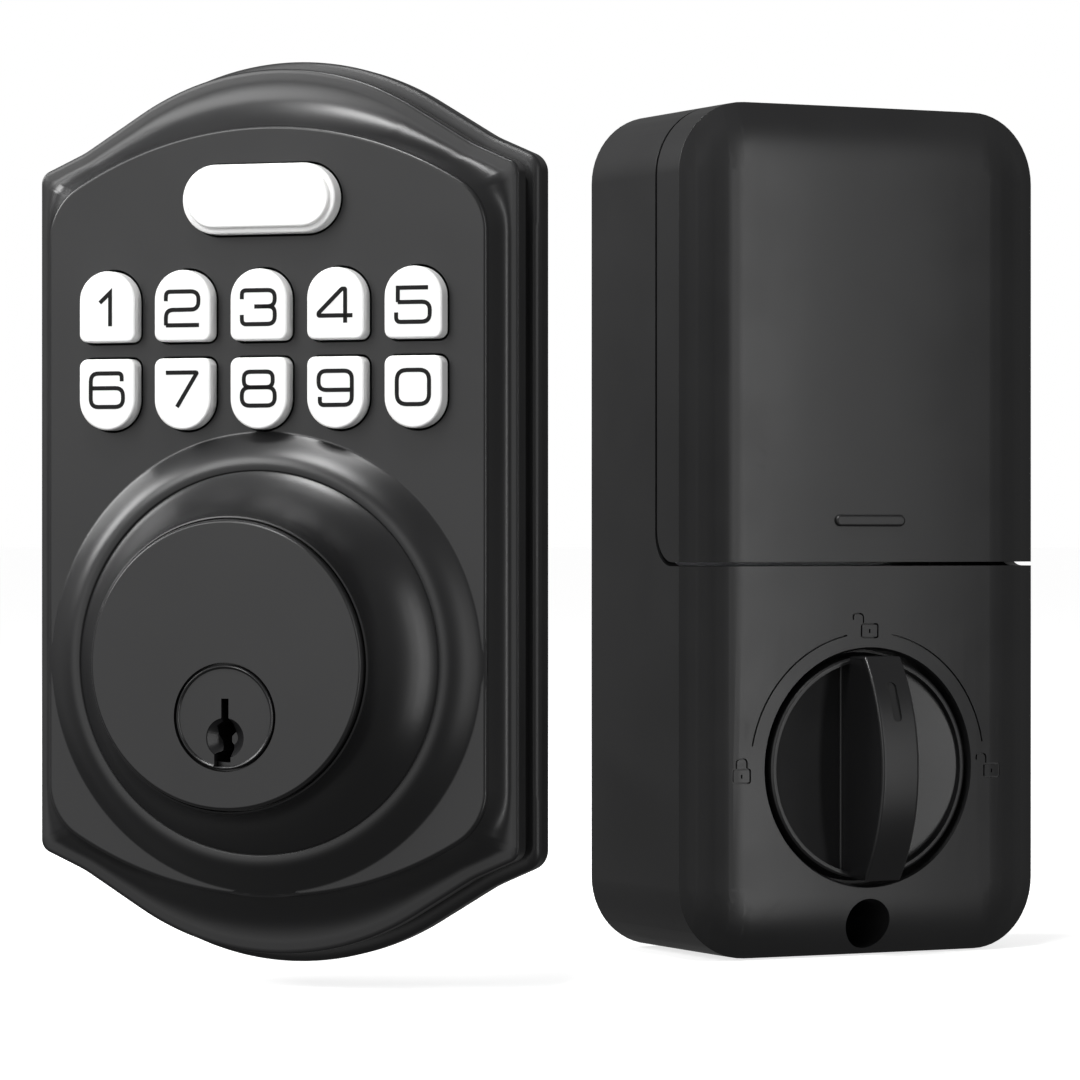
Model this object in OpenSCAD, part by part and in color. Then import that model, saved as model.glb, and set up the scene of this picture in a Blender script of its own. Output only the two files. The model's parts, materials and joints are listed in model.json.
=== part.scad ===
// Keypad deadbolt lock: the keypad unit that faces the street, and the thumbturn unit
// that faces the room, stood side by side with both faces turned towards the viewer.
// Each unit is drawn face on: x to the right, y up, z out of its face, with z = 0 on the door.

/* [Keypad unit] */
// Width of the back plate
plate_w = 75; // [72:0.5:80]
// Height of the back plate, crown to crown
plate_h = 130; // [126:0.5:136]
// Height of the key plug's axis below the middle of the unit
plug_drop = 28.8; // [27:0.1:30]
// Depth of the back plate
plate_d = 4.4; // [4:0.1:5]
// Depth of the front body's flat panel above the door
panel_d = 15.7; // [15:0.1:17]
// Depth of the cylinder's face above the door
disc_d = 30.8; // [30:0.1:34]
// Radius of the cylinder's face
disc_r = 20.3; // [19.5:0.1:21]
// Height of the cylinder face's centre above the plug's axis
disc_rise = 7.3; // [6.5:0.1:8]

/* [Keys] */
// Width of one key
key_w = 8.6; // [8:0.1:9]
// Height of one key
key_h = 10.2; // [9.5:0.1:10.6]
// Distance from key to key along a row
key_pitch = 11.63; // [11.4:0.01:12]
// Height of the first row above the middle of the unit
row_1 = 29.3; // [29:0.1:30]
// Height of the second row above the middle of the unit
row_2 = 16.7; // [16:0.1:17]
// Height of the lock button above the middle of the unit
button_y = 44.3; // [44:0.1:45]
// Travel of a key
key_travel = 1.2; // [0.8:0.1:1.3]

/* [Thumbturn unit] */
// Width of the thumbturn unit
inner_w = 63; // [62:0.5:66]
// Height of the thumbturn unit
inner_h = 131; // [130:0.5:134]
// Depth of the thumbturn unit without its knob
inner_d = 32.7; // [32:0.1:34]
// Height of the unit's middle above the thumbturn's axis
inner_rise = 36.6; // [36:0.1:37]
// Radius of the thumbturn's round base
turn_r = 17.7; // [17:0.1:18]
// Turn of the thumbturn unit against the keypad unit
inner_turn = 44.5; // [30:0.5:60]

/* [Hidden] */
$fn = 96;

// Finishes
black = "#1d1d1f";
soft_black = "#151516";
white = "#f2f2f0";
brass = "#b8964f";
steel = "#9a9da1";
board_green = "#1f5a38";

// Places of the thumbturn unit's axis beside the keypad unit
inner_place = [44.8, 90.4, -10.4];

// Crown outline: radii, slopes and lengths shared by the plate, the seal and the front body
mid_y = plug_drop;
plate_lap = 0.9;
peak_lap = 0.85;
rim_hw = plate_w / 2 - plate_lap;
rim_hh = plate_h / 2 - plate_lap * (1 + peak_lap);
crown_r = 40;
flank_a = 31.5;
flank_x = 29;
hollow_r = 14;
ear_a = 24;
corner_r = 2;

// Panel outline
panel_hw = 33.4;
panel_hh = 54.9;
arch_r = 56;
arch_corner_r = 9;
arch_corner_x = panel_hw - arch_corner_r;
arch_c = panel_hh - arch_r;
arch_corner_y = arch_c + sqrt(pow(arch_r - arch_corner_r, 2) - pow(arch_corner_x, 2));
arch_join_x = arch_corner_x * arch_r / (arch_r - arch_corner_r);
mitre_x = arch_corner_x + arch_corner_r * cos(45);

// Front body
rim_back = 7.5;
rim_front = 11.3;
skin = 2;
panel_in = panel_d - skin;
pocket_z = 2;
barrel_r = 17;
barrel_back = 9.2;
collar_r = 33.3;
crease_r = 27.6;
side_spots = [[-28.5, 33], [28.5, 33]];
end_spots = [[0, 84.4], [0, -26.8]];
plate_screw_spots = concat(side_spots, end_spots);
board_screw_spots = [[-26, 72.5], [26, 72.5], [-17, 36.6], [17, 36.6]];

// Cylinder and plug
plug_r = 6.3;
plug_play = 0.05;
flange_r = 7.3;
flange_d = 1.3;
pin_r = 1.4;
pin_hole_r = 1.45;
pin_count = 5;
pin_pitch = 3.9;
pin_first = 27;
shear_gap = 0.1;
tail_w = 7;
tail_t = 1.8;
tail_len = 58;
post_x = 20;
post_len = 22;
post_hole_r = 2;
cable_y = -16.2;

// Keypad stack, measured out from the door
key_face = 18;
key_gap = 0.35;
key_lip = 0.9;
key_lip_d = 1.2;
board_z = 6.6;
board_t = 1.6;
web_t = 1;
dome_clear = 0.6;
dome_h = panel_in - key_lip_d - key_travel - dome_clear - board_z - board_t - web_t;
button_w = 23.2;
button_h = 9.9;

// Thumbturn unit
wall = 2;
inner_r = 11;
crown_in = 5.5;
crown_soft = 7;
seam_y = 31.4;
seam_z = 21.8;
seam_r = 5;
seam_gap = 0.5;
cover_t = 1.8;
grip_y = 38.1;
cup_gap = 0.5;
cup_floor = 28;
clip_z = 25;
stem_r = 6;
access_y = -24.3;
access_r = 3.7;
upper_screw_spots = [[-23.6, 94.4], [23.6, 94.4]];
bolt_x = 20;
spindle_r = 4.6;

// Batteries
cell_r = 7.05;
cell_l = 49.2;
cell_nub = 1.3;
cell_z = 22.2;
cell_first = 42.2;
cell_pitch = 15.6;

// Gears
tooth = 0.8;
spindle_teeth = 36;
idler_small = 12;
idler_large = 30;
pinion_teeth = 12;
gear_play = 0.14;
idler_angle = 122;
idler_xy = tooth * (spindle_teeth + idler_small) / 2 * [cos(idler_angle), sin(idler_angle)];
motor_angle = 15;
motor_xy = idler_xy + tooth * (idler_large + pinion_teeth) / 2 * [cos(motor_angle), sin(motor_angle)];
low_gear = [4.2, 8];
high_gear = [8.6, 11.4];
frame_z = [12, 13.6];
motor_r = 8;
motor_top = 25.4;
magnet_xy = [10, 0];

// ---------- shared helpers ----------

module face_on() rotate([90, 0, 0]) children();

module inner_on() translate(inner_place) rotate([90, 0, inner_turn]) children();

module slab(z0, z1) translate([0, 0, z0]) linear_extrude(z1 - z0) children();

module rod(at, z0, z1, r) translate([at[0], at[1], z0]) cylinder(h = z1 - z0, r = r);

module at_each(spots) for (p = spots) translate([p[0], p[1], 0]) children();

module round_rect(w, h, r) {
    square([w, h - 2 * r], center = true);
    square([w - 2 * r, h], center = true);
    for (x = [-1, 1], y = [-1, 1]) translate([x * (w / 2 - r), y * (h / 2 - r)]) circle(r);
}

module stadium(w, h) {
    square([w - h, h], center = true);
    for (x = [-1, 1]) translate([x * (w - h) / 2, 0]) circle(h / 2);
}

module screw(head_r, head_h, shank_r, length) {
    difference() {
        cylinder(h = head_h, r = head_r);
        for (a = [0, 90]) rotate(a) translate([0, 0, -0.1]) slot_cut(head_r * 1.2, 0.7, head_h * 0.6);
    }
    translate([0, 0, head_h - 0.05]) cylinder(h = length, r = shank_r);
}

module slot_cut(l, t, d) translate([-l / 2, -t / 2, 0]) cube([l, t, d]);

function arc(c, r, a0, a1, n) = [for (i = [0:n]) let (a = a0 + (a1 - a0) * i / n) c + r * [cos(a), sin(a)]];

function flip(p, sx, sy) = [for (q = p) [q[0] * sx, q[1] * sy]];

function turned(p) = [for (i = [len(p) - 1:-1:0]) p[i]];

// One quarter gives the whole outline: right top, right bottom, left bottom, left top
function whole(q) = let (n = len(q) - 1, inner = [for (i = [1:n - 1]) q[i]])
    concat(q, turned(flip(concat([q[0]], inner), 1, -1)), flip(concat(inner, [q[n]]), -1, -1),
        turned(flip(inner, -1, 1)));

// ---------- crown and panel outlines ----------

// Quarter of the crown, from its peak to the middle of its side, grown outwards by g
// all round and by peak_lap times as much again in height
function crown_quarter(g) = let (
        c1 = [0, rim_hh - crown_r + g * peak_lap],
        t2 = c1 + [flank_x, crown_r / cos(flank_a) - flank_x * tan(flank_a)],
        c2 = t2 + hollow_r * [sin(flank_a), cos(flank_a)],
        hw = rim_hw + g,
        ear = c2 - (hollow_r - g) * [sin(ear_a), cos(ear_a)],
        r = max(corner_r + g, 0.3),
        top_y = ear[1] - (hw - r - ear[0]) * tan(ear_a),
        ck = [hw - r, top_y - r / cos(ear_a)])
    concat(arc(c1, crown_r + g, 90, 90 - flank_a, 10), arc(c2, hollow_r - g, 270 - flank_a, 270 - ear_a, 3),
        arc(ck, r, 90 - ear_a, 0, 5), [for (s = [0.97, 0.92, 0.85, 0.5]) [hw, ck[1] * s]], [[hw, 0]]);

module crown_2d(g) translate([0, mid_y]) polygon(whole(crown_quarter(g)));

function panel_top(x) = x < arch_join_x
    ? arch_c + sqrt(pow(arch_r, 2) - pow(x, 2))
    : arch_corner_y + sqrt(pow(arch_corner_r, 2) - pow(x - arch_corner_x, 2));

// The panel's quarter has a point for each point of the crown's quarter
function panel_quarter() = let (
        c = crown_quarter(0),
        top = [for (p = c) if (p[0] < rim_hw - 0.001) p],
        k = mitre_x / top[len(top) - 1][0],
        side = len(c) - len(top))
    concat([for (p = top) [p[0] * k, panel_top(p[0] * k)]],
        [for (i = [1:side - 2]) let (a = 45 * (1 - i / (side - 2)))
            [arch_corner_x, arch_corner_y] + arch_corner_r * [cos(a), sin(a)]],
        [[panel_hw, arch_corner_y / 2], [panel_hw, 0]]);

function shrink(p, d) = [for (q = p) let (s = 1 - d / norm(q)) q * s];

module panel_2d(inset) translate([0, mid_y]) polygon(whole(shrink(panel_quarter(), inset)));

// ---------- keypad unit ----------

// Rings from the panel's edge down the hollow slope to the rim, each as [outline, depth]
function blend(a, b, t) = [for (i = [0:len(a) - 1]) a[i] * (1 - t) + b[i] * t];

function body_rings() = let (
        panel = panel_quarter(),
        rim = crown_quarter(-0.8),
        fall = panel_d - 1 - rim_front,
        slope = [for (t = [0.12, 0.3, 0.5, 0.75, 1])
            [blend(panel, rim, t), panel_d - 1 - fall * (1 - pow(1 - t, 2))]])
    concat([[shrink(panel, 0.4), panel_d], [panel, panel_d - 0.3], [panel, panel_d - 1]], slope,
        [[crown_quarter(-0.2), rim_front - 0.3], [crown_quarter(0), rim_front - 0.9]],
        [[crown_quarter(0), rim_back]]);

module lofted_body() {
    rings = [for (r = body_rings()) [for (p = whole(r[0])) [p[0], p[1] + mid_y, r[1]]]];
    n = len(rings[0]);
    count = len(rings);
    sides = [for (k = [0:count - 2], i = [0:n - 1]) let (j = (i + 1) % n)
        [k * n + i, (k + 1) * n + i, (k + 1) * n + j, k * n + j]];
    top = [[for (i = [0:n - 1]) i]];
    base = [[for (i = [n - 1:-1:0]) (count - 1) * n + i]];
    polyhedron(points = [for (r = rings, p = r) p], faces = concat(top, sides, base));
}

// Turned collar round the cylinder: a soft bell, a crease, then a hollow cone up to the face
module collar_profile() {
    rise = disc_d - 1.4 - panel_d;
    bell = [for (i = [0:8]) let (u = i / 8)
        [collar_r + (crease_r - collar_r) * u, panel_d - 0.2 + 3 * sin(90 * min(1, u * 1.12))]];
    cone = [for (i = [0:8]) let (u = i / 8, inward = sin(85.5 * u) / sin(85.5))
        [crease_r - (crease_r - disc_r) * inward, panel_d + 2.4 + (rise - 2.4) * pow(u, 1.35)]];
    foot = [[barrel_r - 1, panel_in - 1], [crease_r - 2, panel_in - 1], [crease_r, panel_in + 0.1]];
    polygon(concat(foot, [[collar_r, panel_in + 0.1]], bell, cone, [[barrel_r - 1, disc_d - 1.4]]));
}

module arch_key_2d(grow) {
    w = key_w + 2 * grow;
    r = 1.2 + grow;
    low = -key_h / 2 - grow;
    high = key_h / 2 + grow - w / 2;
    translate([0, high]) circle(w / 2);
    translate([-w / 2, low + r]) square([w, high - low - r]);
    translate([-w / 2 + r, low]) square([w - 2 * r, r + 1]);
    for (x = [-1, 1]) translate([x * (w / 2 - r), low + r]) circle(r);
}

// Ten keys: the first row has its arches on top, the second row has them below
function key_at(i) = [(i % 5 - 2) * key_pitch, mid_y + (i < 5 ? row_1 : row_2)];

module key_2d(i, grow) translate(key_at(i)) mirror([0, i < 5 ? 0 : 1]) arch_key_2d(grow);

module button_2d(grow) translate([0, mid_y + button_y]) stadium(button_w + 2 * grow, button_h + 2 * grow);

module escutcheon() color(black) face_on() difference() {
    union() {
        difference() {
            lofted_body();
            slab(rim_back - 1, rim_back + 2.2) crown_2d(-2.4);
            slab(rim_back - 1, panel_in) panel_2d(1.6);
        }
        translate([0, disc_rise, 0]) rotate_extrude() collar_profile();
        translate([0, disc_rise, 0]) rod([0, 0], barrel_back, panel_d, barrel_r + 2.4);
        at_each(side_spots) rod([0, 0], plate_d + 0.2, panel_in + 0.2, 3);
        at_each(end_spots) rod([0, 0], plate_d + 0.2, rim_back + 4, 3);
        at_each(board_screw_spots) rod([0, 0], board_z + board_t, panel_in + 0.2, 2.2);
    }
    for (i = [0:9]) slab(panel_in - 1, panel_d + 2) key_2d(i, key_gap);
    slab(panel_in - 1, panel_d + 1) button_2d(key_gap);
    translate([0, disc_rise, 0]) rod([0, 0], 0, disc_d + 1, barrel_r + 0.2);
    at_each(plate_screw_spots) rod([0, 0], 0, rim_back + 3, 1.2);
    at_each(board_screw_spots) rod([0, 0], 0, panel_in - 1, 0.95);
}

module back_plate() color(black) face_on() difference() {
    union() {
        slab(0, plate_d - 1.4) crown_2d(plate_lap);
        slab(plate_d - 1.5, plate_d) crown_2d(plate_lap - 0.7);
    }
    difference() {
        slab(pocket_z, plate_d + 1) crown_2d(-3);
        at_each(plate_screw_spots) rod([0, 0], 0, plate_d + 2, 5);
    }
    rod([0, 0], -1, plate_d, 5.5);
    rod([0, cable_y], -1, plate_d, 4.6);
    for (x = [-1, 1]) rod([x * post_x, 0], -1, plate_d, 3.5);
    at_each(plate_screw_spots) rod([0, 0], -1, plate_d + 1, 1.5);
    at_each(plate_screw_spots) rod([0, 0], -1, 2, 2.9);
}

module weather_seal() color(soft_black) face_on() difference() {
    slab(plate_d, rim_back) crown_2d(-0.9);
    slab(plate_d - 1, rim_back + 1) crown_2d(-2.4);
}

module cylinder_body() color(black) face_on() difference() {
    union() {
        translate([0, disc_rise, 0]) rod([0, 0], barrel_back, disc_d - 1, barrel_r);
        translate([0, disc_rise, 0]) rod([0, 0], disc_d - 1.4, disc_d - 0.3, disc_r);
        translate([0, disc_rise, 0]) rod([0, 0], disc_d - 0.4, disc_d, disc_r - 0.3);
    }
    rod([0, 0], 0, disc_d + 1, plug_r + plug_play);
    rod([0, 0], disc_d - flange_d - 0.3, disc_d + 1, flange_r + 0.3);
    for (i = [0:pin_count - 1]) translate([0, 0, pin_first - i * pin_pitch]) rotate([-90, 0, 0])
        cylinder(h = 30, r = pin_hole_r);
    translate([-2.5, 20.6, pin_first - 4.5 * pin_pitch]) cube([5, 6, 5 * pin_pitch]);
    for (x = [-1, 1]) rod([x * 12, disc_rise], 0, barrel_back + 6, 1.4);
}

// Keyway seen from the front, with its wards stepping from side to side
module keyway_2d() polygon([
    [-0.6, 2.6], [0.6, 2.6], [0.6, -0.4], [1, -0.8], [1, -2], [0.3, -2.6], [0.3, -3.6],
    [0.9, -4.4], [0.9, -9], [-1.6, -9], [-1.6, -5], [-0.7, -4.6], [-1.1, -3.4], [-1.5, -2.6],
    [-1.5, -1.2], [-0.6, -0.6]
]);

module key_plug() color(black) face_on() difference() {
    union() {
        rod([0, 0], 6, disc_d - flange_d + 0.1, plug_r);
        rod([0, 0], disc_d - flange_d, disc_d + 0.1, flange_r);
    }
    slab(barrel_back + 1.5, disc_d + 1) keyway_2d();
    rod([0, -2.9], disc_d - 1.2, disc_d + 1, 2.95);
    for (i = [0:pin_count - 1]) translate([0, 0, pin_first - i * pin_pitch]) rotate([-90, 0, 0])
        cylinder(h = 10, r = pin_hole_r);
    difference() {
        rod([0, 0], 7.8, 9.1, 8);
        rod([0, 0], 7, 10, 5.3);
    }
    translate([-tail_w / 2 - 0.05, -tail_t / 2 - 0.05, 5]) cube([tail_w + 0.1, tail_t + 0.1, 2.6]);
}

// Lengths of the key pins follow the cuts of the key that fits
key_cuts = [3.1, 2.5, 3.5, 2.8, 3.3];

module key_pins() color(brass) face_on() for (i = [0:pin_count - 1])
    translate([0, 0, pin_first - i * pin_pitch]) rotate([-90, 0, 0]) {
        translate([0, 0, plug_r - 0.15 - key_cuts[i]]) cylinder(h = key_cuts[i], r = pin_r);
        translate([0, 0, plug_r - 0.75 - key_cuts[i]]) cylinder(h = 0.7, r1 = 0.6, r2 = pin_r);
    }

module driver_pins() color(steel) face_on() for (i = [0:pin_count - 1])
    translate([0, 0, pin_first - i * pin_pitch]) rotate([-90, 0, 0])
        translate([0, 0, plug_r + plug_play + shear_gap]) cylinder(h = 5, r = pin_r);

// Each spring is drawn as its closed stack of coils, one bead for each turn
module pin_springs() color(steel) face_on() for (i = [0:pin_count - 1])
    translate([0, plug_r + plug_play + shear_gap + 5, pin_first - i * pin_pitch]) rotate([-90, 0, 0])
        rotate_extrude($fn = 32)
            for (k = [0:11]) translate([pin_r - 0.35, 0.42 + k * 0.7]) circle(0.4, $fn = 16);

module pin_cover() color(brass) face_on()
    translate([-2.45, 20.65, pin_first - 4.5 * pin_pitch + 0.05]) cube([4.9, 1.2, 5 * pin_pitch - 0.1]);

module plug_clip() color(steel) face_on() difference() {
    rod([0, 0], 7.95, 8.95, 7.4);
    rod([0, 0], 7, 10, 5.4);
    translate([-1.5, -9, 7]) cube([3, 6, 3]);
}

module tailpiece() color(steel) face_on()
    translate([-tail_w / 2, -tail_t / 2, -tail_len]) cube([tail_w, tail_t, tail_len + 7.5]);

module cylinder_retainer() color(steel) face_on() difference() {
    translate([0, disc_rise, 0]) rod([0, 0], 7.6, barrel_back, barrel_r + 2);
    rod([0, 0], 0, 10, 8.1);
    for (x = [-1, 1]) rod([x * 12, disc_rise], 0, 10, 1.7);
}

module cylinder_screws() color(steel) face_on() for (x = [-1, 1])
    translate([x * 12, disc_rise, 5.8]) screw(2.8, 1.8, 1.35, 6.5);

module key(i) color(white) face_on() {
    slab(panel_in - key_lip_d, panel_in - 0.05) key_2d(i, key_lip);
    slab(panel_in - 0.1, key_face - 0.3) key_2d(i, 0);
    slab(key_face - 0.35, key_face) key_2d(i, -0.3);
}

module lock_button() color(white) face_on() {
    slab(panel_in - key_lip_d, panel_in - 0.05) button_2d(key_lip);
    slab(panel_in - 0.1, key_face - 0.1) button_2d(0);
    slab(key_face - 0.15, key_face + 0.6) button_2d(-0.7);
}

module board_2d(inset) difference() {
    translate([0, 57.6]) round_rect(60 - 2 * inset, 47 - 2 * inset, 3);
    for (x = [-1, 1]) translate([x * 34.5, 86]) circle(14 + inset);
    at_each(side_spots) circle(3.5 + inset);
    at_each(board_screw_spots) circle(1.25 + inset);
}

module keypad_board() color(board_green) face_on() slab(board_z, board_z + board_t) board_2d(0);

dome_spots = concat([for (i = [0:9]) key_at(i)], [for (x = [-6, 6]) [x, mid_y + button_y]]);
led_spots = [for (i = [0:9]) key_at(i) + [0, i < 5 ? -6.3 : 6.3]];

module keypad_membrane() color("#d8d8d4") face_on() difference() {
    union() {
        slab(board_z + board_t, board_z + board_t + web_t) board_2d(1.2);
        at_each(dome_spots) rod([0, 0], board_z + board_t, board_z + board_t + web_t + dome_h, 2.4);
    }
    at_each(board_screw_spots) rod([0, 0], 0, 20, 2.6);
    at_each(led_spots) translate([-1.2, -0.9, 0]) cube([2.4, 1.8, 20]);
}

module keypad_leds() color("#f5e6a0") face_on() at_each(led_spots)
    translate([-0.8, -0.5, board_z + board_t]) cube([1.6, 1, 0.8]);

module keypad_screws() color(steel) face_on() at_each(board_screw_spots)
    translate([0, 0, board_z - 1.2]) screw(2, 1.2, 0.9, 6);

module keypad_socket() color(white) face_on() translate([0, 38, 0]) difference() {
    translate([-5, -2.2, 2.6]) cube([10, 4.4, board_z - 2.6]);
    translate([-4.2, -3, 3.3]) cube([8.4, 4.2, 2.4]);
}

module cable_grommet() color(soft_black) face_on() translate([0, cable_y, 0]) difference() {
    union() {
        rod([0, 0], 0.1, 3.2, 4.55);
        rod([0, 0], pocket_z, 3.2, 5.4);
    }
    rod([0, 0], -1, 5, 3.2);
}

module mounting_posts() color(steel) face_on() for (x = [-1, 1]) translate([x * post_x, 0, 0]) difference() {
    union() {
        rod([0, 0], -post_len, pocket_z + 0.1, 3.5);
        rod([0, 0], pocket_z, 4, 5);
    }
    rod([0, 0], -post_len - 1, -2, post_hole_r);
}

module back_plate_screws() color(steel) face_on() at_each(plate_screw_spots)
    translate([0, 0, 0.3]) screw(2.6, 1.7, 1.15, 8.3);

// ---------- thumbturn unit ----------

// Cross-section with a softly crowned front, inset by t on every side
module crowned_2d(w, t) {
    x = w / 2 - crown_in;
    z = inner_d - crown_soft;
    translate([-x, -1]) square([2 * x, inner_d - t + 1]);
    translate([-w / 2 + t, -1]) square([w - 2 * t, z + 1]);
    intersection() {
        for (s = [-1, 1]) translate([s * x, z]) circle(crown_soft - t);
        translate([-w / 2 + t, 0]) square([w - 2 * t, inner_d]);
    }
}

// The unit's outer form, or its hollow when t is the wall
module inner_form(t) translate([0, inner_rise, 0]) intersection() {
    slab(-1, inner_d + 1) round_rect(inner_w - 2 * t, inner_h - 2 * t, inner_r - t);
    rotate([90, 0, 0]) linear_extrude(inner_h + 2, center = true) crowned_2d(inner_w, t);
    rotate([90, 0, 90]) linear_extrude(inner_w + 2, center = true) crowned_2d(inner_h, t);
}

// Everything in front of the seam and above it, with the seam's rounded corner
module cover_zone(g) rotate([90, 0, 90]) linear_extrude(inner_w + 10, center = true)
    polygon(concat(arc([seam_y + g + seam_r, seam_z + g + seam_r], seam_r, 180, 270, 8),
        [[120, seam_z + g], [120, 60], [seam_y + g, 60]]));

module inner_housing() color(black) inner_on() difference() {
    union() {
        difference() {
            inner_form(0);
            inner_form(wall);
            cover_zone(-seam_gap / 2);
        }
        intersection() {
            inner_form(wall - 0.1);
            union() {
                translate([-40, seam_y - 2.4, 15.2]) cube([80, 2.1, 14]);
                rod([0, 0], cup_floor - 1.6, inner_d, turn_r + cup_gap + 1.6);
                rod([0, access_y], 3.5, inner_d, access_r + 1.3);
            }
        }
        at_each(upper_screw_spots) rod([0, 0], 2.2, 12.8, 3);
    }
    translate([-50, -50, -5]) cube([100, 200, 5]);
    rod([0, 0], cup_floor, inner_d + 1, turn_r + cup_gap);
    rod([0, 0], 0, cup_floor + 1, stem_r);
    rod([0, access_y], 7.2, inner_d + 1, access_r);
    rod([0, access_y], 5, inner_d, 3.3);
    rod([0, access_y], 0, inner_d, 1.75);
    at_each(upper_screw_spots) rod([0, 0], 0, 20, 1.6);
}

module battery_cover() color(black) inner_on() {
    intersection() {
        difference() {
            inner_form(0);
            inner_form(cover_t);
        }
        cover_zone(seam_gap / 2);
    }
    translate([0, grip_y, inner_d - 0.3]) linear_extrude(0.9) stadium(12.4, 1.8);
    intersection() {
        inner_form(cover_t - 0.1);
        for (x = [-1, 1]) translate([x * 14 - 0.6, seam_y + 2, inner_d - 2.9]) cube([1.2, 60, 2.5]);
    }
}

cell_rows = [for (i = [0:3]) cell_first + i * cell_pitch];

module battery_tray() color(soft_black) inner_on() difference() {
    translate([-29, seam_y + 0.3, 13.4]) cube([58, 67.6, 8.2]);
    for (y = cell_rows) translate([0, y, cell_z]) rotate([0, 90, 0])
        cylinder(h = cell_l + 4.6, r = cell_r + 0.45, center = true);
    for (y = cell_rows) translate([-27.6, y - 4, 15.4]) cube([55.2, 8, 10]);
    for (x = [-1, 1]) rod([x * 33.5, 103.5], 0, 40, 13.5);
    for (p = upper_screw_spots) rod(p, 0, 40, 4.3);
}

module cell(i) inner_on() translate([0, cell_rows[i], cell_z]) rotate([0, i % 2 == 0 ? 90 : -90, 0])
    translate([0, 0, -cell_l / 2]) {
        color("#2f6fb0") cylinder(h = cell_l - 0.6, r = cell_r);
        color(steel) translate([0, 0, cell_l - 0.7]) cylinder(h = 0.7, r = cell_r - 0.7);
        color(steel) translate([0, 0, cell_l - 0.1]) cylinder(h = cell_nub, r = 2.7);
    }

// Each cell spring is drawn as its squeezed cone of coils
module cell_springs() color(steel) inner_on() for (i = [0:3])
    translate([0, cell_rows[i], cell_z]) rotate([0, i % 2 == 0 ? -90 : 90, 0])
        translate([0, 0, cell_l / 2 + 0.02]) rotate_extrude($fn = 48)
            for (k = [0:3]) translate([2.2 + k * 0.48, 0.42 + k * 0.48]) circle(0.42, $fn = 16);

// A flat leaf behind each spring, and a folded one against each cell's nub
module cell_contacts() color(steel) inner_on() for (i = [0:3]) {
    nub_side = i % 2 == 0 ? 1 : -1;
    translate([0, cell_rows[i] - 3.9, 15.6]) {
        translate([-nub_side * (cell_l / 2 + 2.52) - 0.2, 0, 0]) cube([0.4, 7.8, 10.4]);
        translate([nub_side * (cell_l / 2 + 1.97) - 0.75, 0, 0]) cube([1.5, 7.8, 10.4]);
    }
}

module main_board() color(board_green) inner_on() difference() {
    slab(8, 9.6) translate([0, 65]) round_rect(50, 61, 2);
    for (p = upper_screw_spots) rod(p, 0, 20, 3.8);
}

module control_chips() color("#26262a") inner_on() {
    for (p = [[-6, 74], [12, 56]]) translate([p[0], p[1], 9.6]) cube([9, 9, 1.4]);
    for (x = [-20:4:-4]) translate([x, 48, 9.6]) cube([2, 1.3, 0.9]);
    translate([-2, 36.5, 6.9]) cube([4, 3, 1.1]);
}

module cable_socket() color(white) inner_on() translate([0, 44, 0]) difference() {
    translate([-5, -2.4, 4]) cube([10, 4.8, 4]);
    translate([-4.2, -1.6, 3]) cube([8.4, 3.2, 4]);
}

module buzzer() color("#101012") inner_on() difference() {
    rod([17, 82], 4.6, 8, 5);
    rod([17, 82], 4, 5.2, 1);
}

module mounting_plate() color(steel) inner_on() difference() {
    union() {
        slab(0, 1.8) translate([0, inner_rise]) round_rect(inner_w - 4.6, inner_h - 4.6, inner_r - 2.3);
        rod([0, access_y], 0, 3.4, 2.5);
        for (p = upper_screw_spots) rod(p, 0, 2.1, 4);
    }
    rod([0, 0], -1, 5, spindle_r + 0.8);
    for (x = [-1, 1]) rod([x * bolt_x, 0], -1, 5, 2.3);
    slab(-1, 5) translate([0, 44]) stadium(13, 7);
    rod([0, access_y], -1, 5, 1.55);
    at_each(upper_screw_spots) rod([0, 0], -1, 5, 1.3);
}

module housing_screws() color(steel) inner_on() {
    translate([0, access_y, 7.2]) mirror([0, 0, 1]) screw(3, 2.2, 1.5, 4.6);
    at_each(upper_screw_spots) translate([0, 0, 14.6]) mirror([0, 0, 1]) screw(2.6, 1.7, 1.25, 12.4);
}

// Half-moon grip on a round base whose two halves are scooped down towards the grip
module thumbturn() color(black) inner_on() difference() {
    union() {
        rod([0, 0], cup_floor + 0.4, inner_d - 0.6, turn_r);
        rod([0, 0], clip_z - 2.5, cup_floor + 1, stem_r - 0.05);
        intersection() {
            rod([0, 0], cup_floor + 1, 50, turn_r);
            translate([-3.3, -turn_r, cup_floor + 1]) cube([6.6, 2 * turn_r, 20]);
            translate([-10, 0, inner_d + 9.6 - 29]) rotate([0, 90, 0]) cylinder(h = 20, r = 29);
        }
    }
    for (s = [-1, 1]) intersection() {
        rod([0, 0], 0, 60, turn_r - 1.2);
        translate([s * 3.3, 0, inner_d - 2.9]) rotate([0, s * -8.5, 0])
            translate([s > 0 ? 0 : -30, -20, 0]) cube([30, 40, 6]);
    }
    translate([-3.05, -3.05, 10]) cube([6.1, 6.1, 17.2]);
    translate([-0.3, 12.2, inner_d + 1]) rotate([14, 0, 0]) translate([0, 0, 3]) cube([0.6, 3, 6]);
    difference() {
        rod([0, 0], clip_z - 0.1, clip_z + 1, 8);
        rod([0, 0], clip_z - 1, clip_z + 2, 5.2);
    }
}

module thumbturn_clip() color(steel) inner_on() difference() {
    rod([0, 0], clip_z, clip_z + 0.9, 7.6);
    rod([0, 0], clip_z - 1, clip_z + 2, 5.3);
    translate([-1.6, -9, clip_z - 1]) cube([3.2, 5, 3]);
}

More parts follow.
